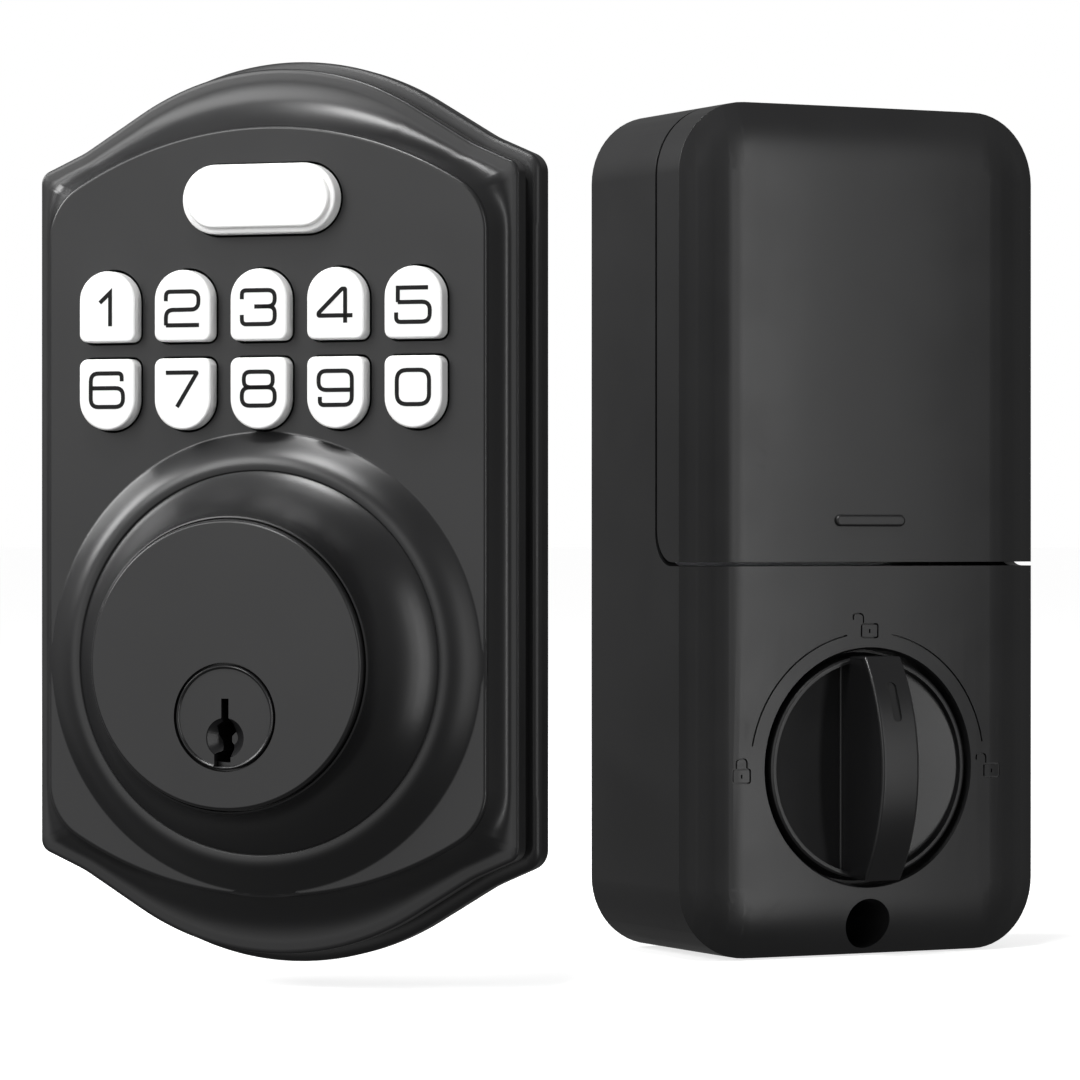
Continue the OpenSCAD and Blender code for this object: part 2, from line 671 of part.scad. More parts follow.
module spindle() color(steel) inner_on() difference() {
    union() {
        rod([0, 0], 0.3, 11.8, spindle_r);
        translate([-3, -3, 11]) cube([6, 6, 16]);
    }
    translate([-tail_w / 2 - 0.2, -tail_t / 2 - 0.2, -1]) cube([tail_w + 0.4, tail_t + 0.4, 10]);
}

// ---------- gears ----------

function flank_turn(a) = tan(a) * 180 / PI - a;

// Half the angle that a tooth fills at radius r
function half_tooth(n, r) = let (
        pitch_r = tooth * n / 2,
        base_r = pitch_r * cos(20),
        a = acos(min(1, base_r / max(r, base_r))))
    90 / n - gear_play / pitch_r * 90 / PI + flank_turn(20) - flank_turn(a);

module gear_2d(n, phase) {
    pitch_r = tooth * n / 2;
    radii = [for (k = [-1.15, -0.4, 0, 0.4, 0.75]) pitch_r + k * tooth];
    rotate(phase) polygon([for (i = [0:n - 1], s = [-1, 1], k = [0:4])
        let (r = radii[s < 0 ? k : 4 - k], a = 360 * i / n + s * half_tooth(n, r)) r * [cos(a), sin(a)]]);
}

// A gear's tooth space faces its driver's tooth when both are turned towards each other
idler_phase = 180 + idler_angle + 180 / idler_small;
large_phase = motor_angle;
pinion_phase = 180 + motor_angle + 180 / pinion_teeth;

module spindle_gear() color(white) inner_on() difference() {
    union() {
        slab(low_gear[0], low_gear[1]) gear_2d(spindle_teeth, idler_angle);
        rod([0, 0], low_gear[0], high_gear[1], 6.2);
    }
    rod([0, 0], 0, 20, spindle_r);
    rod(magnet_xy, low_gear[1] - 1.6, 20, 1.5);
}

module position_magnet() color(steel) inner_on() rod(magnet_xy, low_gear[1] - 1.6, low_gear[1], 1.5);

module idler_gear() color(white) inner_on() translate([idler_xy[0], idler_xy[1], 0]) difference() {
    union() {
        slab(low_gear[0] - 0.6, high_gear[0] + 0.1) gear_2d(idler_small, idler_phase);
        slab(high_gear[0], high_gear[1]) gear_2d(idler_large, large_phase);
    }
    rod([0, 0], 0, 20, 1.55);
}

module idler_axle() color(steel) inner_on() rod(idler_xy, 1.8, frame_z[1], 1.5);

module motor() color(steel) inner_on() translate([motor_xy[0], motor_xy[1], 0]) difference() {
    union() {
        rod([0, 0], frame_z[1], motor_top, motor_r);
        rod([0, 0], frame_z[0] + 0.1, frame_z[1] + 0.1, 2.95);
        rod([0, 0], motor_top - 0.1, motor_top + 0.8, 3.2);
    }
    rod([0, 0], 0, motor_top - 1, 1.05);
}

module motor_shaft() color(steel) inner_on() rod(motor_xy, high_gear[0] - 0.4, motor_top - 1.2, 1);

module motor_pinion() color(brass) inner_on() translate([motor_xy[0], motor_xy[1], 0]) difference() {
    slab(high_gear[0], high_gear[1]) gear_2d(pinion_teeth, pinion_phase);
    rod([0, 0], 0, 20, 1);
}

frame_posts = [[-23.5, 26], [-21, -12], [20, 14]];

module gear_frame() color(soft_black) inner_on() difference() {
    union() {
        slab(frame_z[0], frame_z[1]) polygon(frame_posts);
        slab(frame_z[0], frame_z[1]) translate([-23.5, 10]) square([38, 18.4]);
        for (p = frame_posts) rod(p, 1.8, frame_z[1], 3);
    }
    rod([0, 0], 0, 20, 7.9);
    rod(idler_xy, 0, 20, 1.5);
    rod(motor_xy, 0, 20, 3);
    for (p = frame_posts) rod(p, 0, 20, 1.1);
}

module frame_screws() color(steel) inner_on() for (p = frame_posts)
    translate([p[0], p[1], frame_z[1] + 1.3]) mirror([0, 0, 1]) screw(2.2, 1.3, 1.05, 8);

escutcheon();
back_plate();
weather_seal();
cylinder_body();
key_plug();
key_pins();
driver_pins();
pin_springs();
pin_cover();
plug_clip();
tailpiece();
cylinder_retainer();
cylinder_screws();
key(0);  // key_1
key(1);  // key_2
key(2);  // key_3
key(3);  // key_4
key(4);  // key_5
key(5);  // key_6
key(6);  // key_7
key(7);  // key_8
key(8);  // key_9
key(9);  // key_0
lock_button();
keypad_membrane();
keypad_board();
keypad_leds();
keypad_screws();
keypad_socket();
cable_grommet();
mounting_posts();
back_plate_screws();
inner_housing();
battery_cover();
battery_tray();
cell(0);  // battery_1
cell(1);  // battery_2
cell(2);  // battery_3
cell(3);  // battery_4
cell_springs();
cell_contacts();
main_board();
control_chips();
cable_socket();
buzzer();
mounting_plate();
housing_screws();
thumbturn();
thumbturn_clip();
spindle();
spindle_gear();
position_magnet();
idler_gear();
idler_axle();
motor();
motor_shaft();
motor_pinion();
gear_frame();
frame_screws();
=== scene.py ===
# %% [markdown]
# # A keypad deadbolt lock, in two units
# The lock has a keypad unit for the street side of a door and a thumbturn unit for the room
# side. Both are black and satin, so their looks come from shape: soft coves, crisp beads and
# thin dark gaps that catch the light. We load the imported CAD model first. Everything that is
# made here takes its place from it, and moves with its bodies.

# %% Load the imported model
import json
import math

import bmesh
import bpy
from mathutils import Matrix, Vector

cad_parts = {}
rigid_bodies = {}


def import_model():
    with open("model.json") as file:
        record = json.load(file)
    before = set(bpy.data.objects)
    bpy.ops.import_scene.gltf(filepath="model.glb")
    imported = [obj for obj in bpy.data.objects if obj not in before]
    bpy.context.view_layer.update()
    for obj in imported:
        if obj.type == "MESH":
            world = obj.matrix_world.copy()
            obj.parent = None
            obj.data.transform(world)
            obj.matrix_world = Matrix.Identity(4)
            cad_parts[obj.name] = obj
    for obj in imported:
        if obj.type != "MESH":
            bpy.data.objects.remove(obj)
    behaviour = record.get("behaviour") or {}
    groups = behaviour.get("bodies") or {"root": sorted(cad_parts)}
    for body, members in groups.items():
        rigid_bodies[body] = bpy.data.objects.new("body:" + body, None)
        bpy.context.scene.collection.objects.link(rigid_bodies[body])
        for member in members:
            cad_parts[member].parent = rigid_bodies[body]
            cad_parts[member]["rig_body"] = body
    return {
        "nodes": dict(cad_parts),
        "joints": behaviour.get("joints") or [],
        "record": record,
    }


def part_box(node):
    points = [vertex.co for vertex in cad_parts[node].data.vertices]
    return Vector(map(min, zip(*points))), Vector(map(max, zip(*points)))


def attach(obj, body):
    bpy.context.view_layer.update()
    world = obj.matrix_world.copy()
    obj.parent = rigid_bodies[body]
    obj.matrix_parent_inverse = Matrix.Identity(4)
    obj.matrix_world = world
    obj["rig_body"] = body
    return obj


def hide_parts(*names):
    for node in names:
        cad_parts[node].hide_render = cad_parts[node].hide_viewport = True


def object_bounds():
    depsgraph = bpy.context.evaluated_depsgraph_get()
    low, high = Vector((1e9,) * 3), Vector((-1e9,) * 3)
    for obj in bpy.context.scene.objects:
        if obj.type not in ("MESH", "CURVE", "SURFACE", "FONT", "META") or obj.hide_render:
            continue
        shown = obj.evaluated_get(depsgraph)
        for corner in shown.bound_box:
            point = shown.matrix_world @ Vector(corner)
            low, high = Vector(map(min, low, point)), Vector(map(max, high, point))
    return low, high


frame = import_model()
cad_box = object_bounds()
nodes = frame["nodes"]
slot_of = {s["node"]: s["material_slot"] for s in frame["record"]["subparts"]}

# %% [markdown]
# ## Two benches to work at
# Each unit is easiest to shape face on, in millimetres: x to the right, y up and z out of its
# face, with the door at z = 0. A place matrix then turns the finished piece into the model's
# frame. The thumbturn's own joint says where the second unit stands and how far it is turned,
# so nothing has to be fitted by eye.

# %% Places of the two units
MM = 0.001
KEYPAD = Matrix.Rotation(math.radians(90), 4, "X")
knob_joint = next(j for j in frame["joints"] if j["name"] == "thumb_turn")
room_turn = math.atan2(knob_joint["axis"][0], -knob_joint["axis"][1])
knob_spot = Matrix.Translation(Vector(knob_joint["pos_m"]) / MM)
ROOM = knob_spot @ Matrix.Rotation(room_turn, 4, "Z") @ KEYPAD


def reach(node, place):
    """Lowest and highest corner of a CAD node, face on, in millimetres."""
    back = (Matrix.Scale(MM, 4) @ place).inverted()
    spots = [back @ v.co for v in nodes[node].data.vertices]
    return [Vector(tuple(end(p[i] for p in spots) for i in range(3))) for end in (min, max)]


plate_lo, plate_hi = reach("back_plate", KEYPAD)
rim_lo, rim_hi = reach("escutcheon", KEYPAD)
mid_y = (plate_lo.y + plate_hi.y) / 2
print("room unit turned", round(math.degrees(room_turn), 2), "degrees")
print("middle of the keypad unit", round(mid_y, 2), "mm above its cylinder's axis")

# %% [markdown]
# ## Hands for the work
# An operator acts on all that is selected, and loading leaves every CAD part selected. So
# `pick` first clears the selection and then takes one piece.
#
# `loft` is the main tool. It adds a circle, moves its points onto the first outline, and then
# extrudes that loop again and again, setting each new loop on the next outline. A cube could
# be bevelled and pulled into shape instead, but nearly every part of a lock is one outline
# that changes slowly along an axis, and a loft keeps each step of it in plain numbers.
#
# `cut` and `weld` are boolean modifiers that are applied at once, for holes, slots and bosses.

# %% Selection, lofting and cutting


def pick(piece):
    bpy.ops.object.select_all(action="DESELECT")
    piece.select_set(True)
    bpy.context.view_layer.objects.active = piece
    return piece


def loft(name, rings):
    """A closed shell through outlines that all have the same number of points."""
    bpy.ops.object.select_all(action="DESELECT")
    bpy.ops.mesh.primitive_circle_add(vertices=len(rings[0]), radius=1)
    piece = bpy.context.object
    piece.name = name
    bpy.ops.object.mode_set(mode="EDIT")
    bpy.ops.mesh.select_all(action="SELECT")
    loop = list(range(len(rings[0])))
    for level, ring in enumerate(rings):
        if level == 0:
            bpy.ops.mesh.edge_face_add()
        else:
            bpy.ops.mesh.extrude_region()
        shape = bmesh.from_edit_mesh(piece.data)
        shape.verts.index_update()
        shape.verts.ensure_lookup_table()
        if level > 0:
            grown = {}
            for new in (v for v in shape.verts if v.select):
                for edge in new.link_edges:
                    old = edge.other_vert(new)
                    if not old.select:
                        grown[old.index] = new.index
            loop = [grown[i] for i in loop]
        for i, spot in zip(loop, ring):
            shape.verts[i].co = spot
        bmesh.update_edit_mesh(piece.data)
    bpy.ops.mesh.select_all(action="SELECT")
    bpy.ops.mesh.normals_make_consistent(inside=False)
    bpy.ops.object.mode_set(mode="OBJECT")
    return piece


def join(pieces, name):
    """Several meshes as one object, which keeps their materials."""
    bpy.ops.object.select_all(action="DESELECT")
    for piece in pieces:
        piece.select_set(True)
    bpy.context.view_layer.objects.active = pieces[0]
    bpy.ops.object.join()
    pieces[0].name = name
    return pieces[0]


def combine(piece, tool, how):
    """A boolean with the tool, which is used up."""
    step = pick(piece).modifiers.new("step", "BOOLEAN")
    step.operation = how
    step.solver = "EXACT"
    step.object = tool
    bpy.ops.object.modifier_apply(modifier=step.name)
    bpy.data.objects.remove(tool)
    return piece


def cut(piece, tool):
    return combine(piece, tool, "DIFFERENCE")


def weld(piece, tool):
    return combine(piece, tool, "UNION")


print("helpers:", ", ".join(hand.__name__ for hand in (pick, loft, join, combine, cut, weld)))

# %% [markdown]
# Flat faces beside rounded edges shade badly if every normal is averaged alike. `polish`
# smooths by angle and then weighs each normal by the size of its faces, so that a big flat
# panel stays flat up to its bead. Splitting the edges would do it too, but it would leave
# gaps. `stand` then turns a finished piece into the model's frame, with its place in its
# mesh, hides the CAD node it stands for and hangs it on the body that node rides on.

# %% Smoothing, and setting a piece in the frame


def polish(piece, angle=38):
    """Merge doubles, smooth by angle and weigh the normals."""
    pick(piece)
    bpy.ops.object.mode_set(mode="EDIT")
    bpy.ops.mesh.select_all(action="SELECT")
    bpy.ops.mesh.remove_doubles(threshold=0.0005)
    bpy.ops.object.mode_set(mode="OBJECT")
    bpy.ops.object.shade_smooth_by_angle(angle=math.radians(angle))
    step = piece.modifiers.new("weigh", "WEIGHTED_NORMAL")
    step.keep_sharp = True
    step.weight = 90
    bpy.ops.object.modifier_apply(modifier=step.name)
    return piece


def round_edges(piece, width, steps=2, angle=50):
    """A narrow bevel on every edge that turns by more than angle degrees."""
    step = pick(piece).modifiers.new("round", "BEVEL")
    step.width = width
    step.segments = steps
    step.limit_method = "ANGLE"
    step.angle_limit = math.radians(angle)
    step.use_clamp_overlap = True
    bpy.ops.object.modifier_apply(modifier=step.name)
    return piece


def stand(piece, place, node, finish, smooth=38):
    """Turn a piece into the frame, in place of its CAD node and on the same body."""
    polish(piece, smooth)
    piece.matrix_world = Matrix.Scale(MM, 4) @ place
    bpy.ops.object.transform_apply(location=True, rotation=True, scale=True)
    if not piece.data.materials:
        piece.data.materials.append(finish)
    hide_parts(node)
    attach(piece, nodes[node]["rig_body"])
    lo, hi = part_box(node)
    spans = [[v.co[i] for v in piece.data.vertices] for i in range(3)]
    size = [round((max(span) - min(span)) / MM, 1) for span in spans]
    wanted = [round(side / MM, 1) for side in hi - lo]
    print(piece.name, "mm", size, "CAD", wanted, "faces", len(piece.data.polygons))
    return piece


# %% [markdown]
# ## Outlines
# Every outline is a list of points. Arcs make circles, rounded boxes and arched keys, as a
# draughtsman would set them out with a compass. Curve objects could hold the outlines too,
# but a loft needs the same number of points on each, which a list gives at once.

# %% Arcs, boxes and circles


def arc(cx, cy, r, start, end, steps):
    """Points along an arc, from one angle to another in degrees."""
    turns = [math.radians(start + (end - start) * i / steps) for i in range(steps + 1)]
    return [(cx + r * math.cos(t), cy + r * math.sin(t)) for t in turns]


def circle(cx, cy, r, steps=96):
    return arc(cx, cy, r, 0, 360, steps)[:-1]


def rounded_box(w, h, r, cx=0, cy=0, steps=10):
    """An upright box with four round corners."""
    x, y = w / 2 - r, h / 2 - r
    corners = [(x, y, 0), (-x, y, 90), (-x, -y, 180), (x, -y, 270)]
    return [p for a, b, turn in corners for p in arc(cx + a, cy + b, r, turn, turn + 90, steps)]


def at(outline, z):
    """The outline lifted to a height."""
    return [(x, y, z) for x, y in outline]


def offset(outline, d):
    """The outline moved outwards by d, or inwards if d is below zero."""
    moved = []
    for i, (x, y) in enumerate(outline):
        before, after = outline[i - 1], outline[(i + 1) % len(outline)]
        along = Vector((after[0] - before[0], after[1] - before[1])).normalized()
        moved.append((x + along.y * d, y - along.x * d))
    return moved


def prism(name, outline, z0, z1):
    """A straight block with the outline for its section."""
    return loft(name, [at(outline, z0), at(outline, z1)])


def turned(name, profile, cx=0, cy=0, steps=128):
    """A turned shape from (radius, height) pairs."""
    return loft(name, [at(circle(cx, cy, r, steps), z) for r, z in profile])


print("points: circle", len(circle(0, 0, 1)), "rounded box", len(rounded_box(2, 2, 0.5)))

# %% [markdown]
# `fillet` gives the rings of a rounded edge, from a wall up to a face. It is used on every
# visible edge, because a real casting or moulding never has a knife edge, and the thin bright
# line along an edge is what makes a black part readable.

# %% Rounded edges as rings


def fillet(outline, z, r, steps=5):
    """Rings from the wall at z - r up to the face at z; the outline runs anticlockwise."""
    turns = [math.radians(90 * i / steps) for i in range(steps + 1)]
    return [at(offset(outline, -r * (1 - math.cos(t))), z - r + r * math.sin(t)) for t in turns]


print("rings in a rounded edge", len(fillet(circle(0, 0, 10), 5, 1)))

# %% [markdown]
# ## The crown and the panel
# The edge of the keypad unit is an ogee: a wide arc at the peak, a straight flank, a hollow
# arc that sweeps out to the ear, and a small corner. The panel inside it has an arched top
# and round corners. One quarter of each is enough, and `whole` mirrors it. Both get the same
# number of points, one for one, so that the cove can be lofted straight between them.

# %% One quarter of the crown
CROWN_R, FLANK, FLANK_X = 40, 31.5, 29
HOLLOW_R, EAR, CORNER_R = 14, 24, 2
PEAK_LAP = 0.85
SIDE_STEPS = [0.98, 0.96, 0.94, 0.92, 0.9, 0.88, 0.86, 0.84, 0.6, 0.3, 0]
rim_half_w = rim_hi.x
rim_half_h = (rim_hi.y - rim_lo.y) / 2


def between(a, b, count):
    """Points that part a straight stretch evenly, without its ends."""
    shares = [i / (count + 1) for i in range(1, count + 1)]
    return [(a[0] + (b[0] - a[0]) * t, a[1] + (b[1] - a[1]) * t) for t in shares]


def crown_quarter(grow):
    """From the peak round to the middle of the right side, grown outwards by grow."""
    flank, ear_turn = math.radians(FLANK), math.radians(EAR)
    peak_y = rim_half_h - CROWN_R + grow * PEAK_LAP
    hollow_x = FLANK_X + HOLLOW_R * math.sin(flank)
    flank_y = peak_y + CROWN_R / math.cos(flank) - FLANK_X * math.tan(flank)
    hollow_y = flank_y + HOLLOW_R * math.cos(flank)
    bend_r = HOLLOW_R - grow
    ear = (hollow_x - bend_r * math.sin(ear_turn), hollow_y - bend_r * math.cos(ear_turn))
    half_w, r = rim_half_w + grow, max(CORNER_R + grow, 0.3)
    top_y = ear[1] - (half_w - r - ear[0]) * math.tan(ear_turn)
    corner_y = top_y - r / math.cos(ear_turn)
    points = arc(0, peak_y, CROWN_R + grow, 90, 90 - FLANK, 20)
    bend = arc(hollow_x, hollow_y, bend_r, 270 - FLANK, 270 - EAR, 4)
    points += between(points[-1], bend[0], 5) + bend
    corner = arc(half_w - r, corner_y, r, 90 - EAR, 0, 8)
    points += between(points[-1], corner[0], 4) + corner
    return points + [(half_w, corner_y * k) for k in SIDE_STEPS]


print("crown", round(2 * rim_half_w, 1), "by", round(2 * rim_half_h, 1), "mm")
print("points in a quarter", len(crown_quarter(0)))

# %% [markdown]
# The panel's arch and its corner circle touch, so the corner's centre lies on a circle inside
# the arch. Each point of the panel takes its x from its partner on the crown, scaled down,
# and the corner is then finished as an arc of its own.

# %% One quarter of the panel, and whole outlines
PANEL_HALF_W, PANEL_HALF_H, ARCH_R, ARCH_CORNER = 33.4, 54.9, 56, 9


def panel_quarter():
    """The raised panel, with one point for each point of the crown."""
    corner_x = PANEL_HALF_W - ARCH_CORNER
    arch_y = PANEL_HALF_H - ARCH_R
    corner_y = arch_y + math.sqrt((ARCH_R - ARCH_CORNER) ** 2 - corner_x ** 2)
    join_x = corner_x * ARCH_R / (ARCH_R - ARCH_CORNER)
    over = crown_quarter(0)[:-len(SIDE_STEPS) - 1]
    scale = (corner_x + ARCH_CORNER * math.cos(math.radians(45))) / over[-1][0]

    def top(x):
        if x < join_x:
            return arch_y + math.sqrt(ARCH_R ** 2 - x ** 2)
        return corner_y + math.sqrt(ARCH_CORNER ** 2 - (x - corner_x) ** 2)

    points = [(x * scale, top(x * scale)) for x, _ in over]
    points += arc(corner_x, corner_y, ARCH_CORNER, 45, 0, 9)[1:]
    return points + [(PANEL_HALF_W, corner_y * k) for k in SIDE_STEPS[-3:]]


def whole(quarter):
    """Anticlockwise, from the peak down the left side and back up the right."""
    right = quarter + [(x, -y) for x, y in reversed(quarter[:-1])]
    outline = right + [(-x, y) for x, y in reversed(right[1:-1])]
    return [(x, y + mid_y) for x, y in reversed(outline)]


def blend(a, b, t):
    """The outline that lies a share t of the way from a to b."""
    return [(p[0] + (q[0] - p[0]) * t, p[1] + (q[1] - p[1]) * t) for p, q in zip(a, b)]


print("panel", 2 * PANEL_HALF_W, "by", 2 * PANEL_HALF_H, "mm,", len(panel_quarter()), "points")

# %% [markdown]
# ## Surface effects shared by the finishes
# Coated castings and moulded plastic have the same three small effects in different amounts:
# a fine texture that can be felt more than seen, a broad unevenness in how the coat has
# flowed, and a few thin handling marks. They are made once as a node group. The group only
# puts out masks and a height, and each finish sets its own amounts.

# %% A node group for fine texture, broad unevenness and handling marks


def socket(tree, name, way, kind="NodeSocketFloat", value=None):
    made = tree.interface.new_socket(name=name, in_out=way, socket_type=kind)
    if value is not None:
        made.default_value = value


def surface_group():
    tree = bpy.data.node_groups.new("surface_effects", "ShaderNodeTree")
    socket(tree, "Fine Scale", "INPUT", value=5000)
    socket(tree, "Broad Scale", "INPUT", value=60)
    socket(tree, "Stretch", "INPUT", "NodeSocketVector", (1, 1, 1))
    for name in ("Fine", "Broad", "Marks"):
        socket(tree, name, "OUTPUT")
    add, link = tree.nodes.new, tree.links.new
    enter, leave = add("NodeGroupInput"), add("NodeGroupOutput")
    spot, scale = add("ShaderNodeTexCoord"), add("ShaderNodeVectorMath")
    scale.operation = "MULTIPLY"
    link(spot.outputs["Object"], scale.inputs[0])
    link(enter.outputs["Stretch"], scale.inputs[1])
    fine, broad, scratch = (add("ShaderNodeTexNoise") for _ in range(3))
    for noise, detail in ((fine, 2), (broad, 3), (scratch, 4)):
        noise.inputs["Detail"].default_value = detail
        link(scale.outputs[0], noise.inputs["Vector"])
    link(enter.outputs["Fine Scale"], fine.inputs["Scale"])
    link(enter.outputs["Broad Scale"], broad.inputs["Scale"])
    scratch.inputs["Scale"].default_value = 180
    scratch.inputs["Distortion"].default_value = 2.5
    thin = add("ShaderNodeValToRGB")
    thin.color_ramp.elements[0].position = 0.66
    thin.color_ramp.elements[1].position = 0.72
    link(scratch.outputs["Fac"], thin.inputs["Fac"])
    link(fine.outputs["Fac"], leave.inputs["Fine"])
    link(broad.outputs["Fac"], leave.inputs["Broad"])
    link(thin.outputs["Color"], leave.inputs["Marks"])
    return tree


effects = surface_group()
print("node group", effects.name, "with", len(effects.nodes), "nodes")

# %% [markdown]
# A finish is a Principled shader and one copy of that group. The broad mask moves the colour
# between two near shades, the broad mask and the marks move the roughness, and the fine mask
# drives a bump. What is the same all over, such as metallic or coat, is set on the shader.

# %% Making a finish
RELIEF = 0.00003
BROAD_LOW, BROAD_HIGH = 0.3, 0.7


def finish(name, dark, light, rough, fine=5000, broad=60, bump=0.06, spread=0.08,
           stretch=(1, 1, 1), **fixed):
    """A finish between two near shades; rough is its middle roughness and spread its range."""
    made = bpy.data.materials.new(name)
    made.use_nodes = True
    tree = made.node_tree
    add, link = tree.nodes.new, tree.links.new
    shader = tree.nodes["Principled BSDF"]
    group = add("ShaderNodeGroup")
    group.node_tree = effects
    group.inputs["Fine Scale"].default_value = fine
    group.inputs["Broad Scale"].default_value = broad
    group.inputs["Stretch"].default_value = stretch
    shades = add("ShaderNodeMix")
    shades.data_type = "RGBA"
    shades.inputs["A"].default_value = (*dark, 1)
    shades.inputs["B"].default_value = (*light, 1)
    link(group.outputs["Broad"], shades.inputs["Factor"])
    link(shades.outputs["Result"], shader.inputs["Base Color"])
    sheen = add("ShaderNodeMapRange")
    sheen.inputs["From Min"].default_value = BROAD_LOW
    sheen.inputs["From Max"].default_value = BROAD_HIGH
    sheen.inputs["To Min"].default_value = rough - spread / 2
    sheen.inputs["To Max"].default_value = rough + spread / 2
    link(group.outputs["Broad"], sheen.inputs["Value"])
    rub = add("ShaderNodeMath")
    rub.operation = "MULTIPLY_ADD"
    rub.inputs[1].default_value = spread / 2
    link(group.outputs["Marks"], rub.inputs[0])
    link(sheen.outputs["Result"], rub.inputs[2])
    link(rub.outputs[0], shader.inputs["Roughness"])
    relief = add("ShaderNodeBump")
    relief.inputs["Strength"].default_value = bump
    relief.inputs["Distance"].default_value = RELIEF
    link(group.outputs["Fine"], relief.inputs["Height"])
    link(relief.outputs["Normal"], shader.inputs["Normal"])
    for socket_name, value in fixed.items():
        shader.inputs[socket_name.replace("_", " ")].default_value = value
    return made


print("relief", RELIEF / MM, "mm")

# %% [markdown]
# ## The finishes
# The casting's powder coat is a warm black with a tight satin gloss. The mouldings are a
# little duller and finer. The keys are white and almost clean. Inside, plated steel is drawn
# out along its length, brass and nylon are turned, and the boards are green.

# %% Coats, mouldings and rubber
coat = finish("black_powder_coat", (0.0085, 0.0085, 0.009), (0.0125, 0.0125, 0.013), 0.3,
              bump=0.12, spread=0.05)
moulded = finish("black_moulded_satin", (0.0095, 0.0095, 0.01), (0.014, 0.014, 0.0145), 0.34,
                 fine=7000, bump=0.12, spread=0.06)
edge_coat = finish("black_plate_coat", (0.008, 0.008, 0.0085), (0.012, 0.012, 0.0125), 0.42,
                   bump=0.2)
turn_coat = finish("black_knob_coat", (0.0085, 0.0085, 0.009), (0.012, 0.012, 0.0125), 0.3,
                   bump=0.1, spread=0.05)
key_white = finish("white_key_plastic", (0.86, 0.86, 0.855), (0.9, 0.9, 0.895), 0.38, fine=4000,
                   bump=0.05, Subsurface_Weight=0.04, Subsurface_Radius=(MM, MM, MM))
ink = finish("numeral_ink", (0.004, 0.004, 0.004), (0.008, 0.008, 0.008), 0.5, fine=9000,
             bump=0.2, Specular_IOR_Level=0.15)
# Black seal rubber; the keys' sides below the panel take it too, as painted shade for their gaps.
rubber_and_painted_shade = finish("seal_rubber_and_gap_shade", (0.004, 0.004, 0.004), (0.008, 0.008, 0.008), 0.75, fine=3000,
                bump=0.5, Specular_IOR_Level=0.12)
silicone = finish("milky_silicone", (0.5, 0.5, 0.48), (0.62, 0.62, 0.6), 0.5, fine=2500, bump=0.2,
                  Subsurface_Weight=0.2, Subsurface_Radius=(2 * MM, 2 * MM, 2 * MM))
print("outer finishes", len(bpy.data.materials))

# %% [markdown]
# Metal that is drawn or turned has a grain that runs one way, so those finishes stretch the
# noise along that way. Nylon lets a little light in below its skin, like the silicone.

# %% Metals, nylons and small parts
brass = finish("turned_brass", (0.42, 0.27, 0.08), (0.6, 0.42, 0.15), 0.28, fine=9000,
               stretch=(1, 0.08, 1), Metallic=1)
steel = finish("plated_steel", (0.36, 0.37, 0.39), (0.5, 0.51, 0.53), 0.34, fine=6000, bump=0.25,
               stretch=(1, 1, 0.06), Metallic=1)
spring = finish("spring_steel", (0.45, 0.46, 0.48), (0.6, 0.61, 0.63), 0.2, fine=8000, Metallic=1)
chip = finish("chip_package", (0.012, 0.012, 0.013), (0.024, 0.024, 0.026), 0.6, fine=8000,
              bump=0.4)
cream = finish("led_resin", (0.7, 0.6, 0.25), (0.85, 0.78, 0.42), 0.25, broad=900, bump=0.04)
natural = finish("natural_nylon", (0.62, 0.6, 0.54), (0.74, 0.73, 0.68), 0.45, fine=3500,
                 bump=0.15, Subsurface_Weight=0.1, Subsurface_Radius=(MM, MM, MM))
socket_nylon = finish("socket_nylon", (0.66, 0.65, 0.6), (0.78, 0.77, 0.73), 0.5, bump=0.15)
glass_nylon = finish("glass_filled_nylon", (0.012, 0.012, 0.013), (0.03, 0.03, 0.032), 0.55,
                     fine=2600, bump=0.5, broad=700)
print("finishes so far", len(bpy.data.materials))

# %% [markdown]
# Two finishes carry a pattern as well. A circuit board shows its copper tracks through the
# green mask, which a brick pattern turned into the board's plane gives. A cell has a bare
# steel end and a coloured sleeve with a plain dark band, which depend only on the distance
# along it, so the Mapping node turns the model's frame back into the room unit's own.

# %% Tracks on the boards
TRACKS = 260


def room_mapping(tree):
    """Object coordinates turned back so that x runs across the room unit, in metres."""
    spot, turn = tree.nodes.new("ShaderNodeTexCoord"), tree.nodes.new("ShaderNodeMapping")
    turn.vector_type = "TEXTURE"
    turn.inputs["Location"].default_value = (ROOM.translation.x * MM, ROOM.translation.y * MM, 0)
    turn.inputs["Rotation"].default_value = (0, 0, room_turn)
    tree.links.new(spot.outputs["Object"], turn.inputs["Vector"])
    return turn


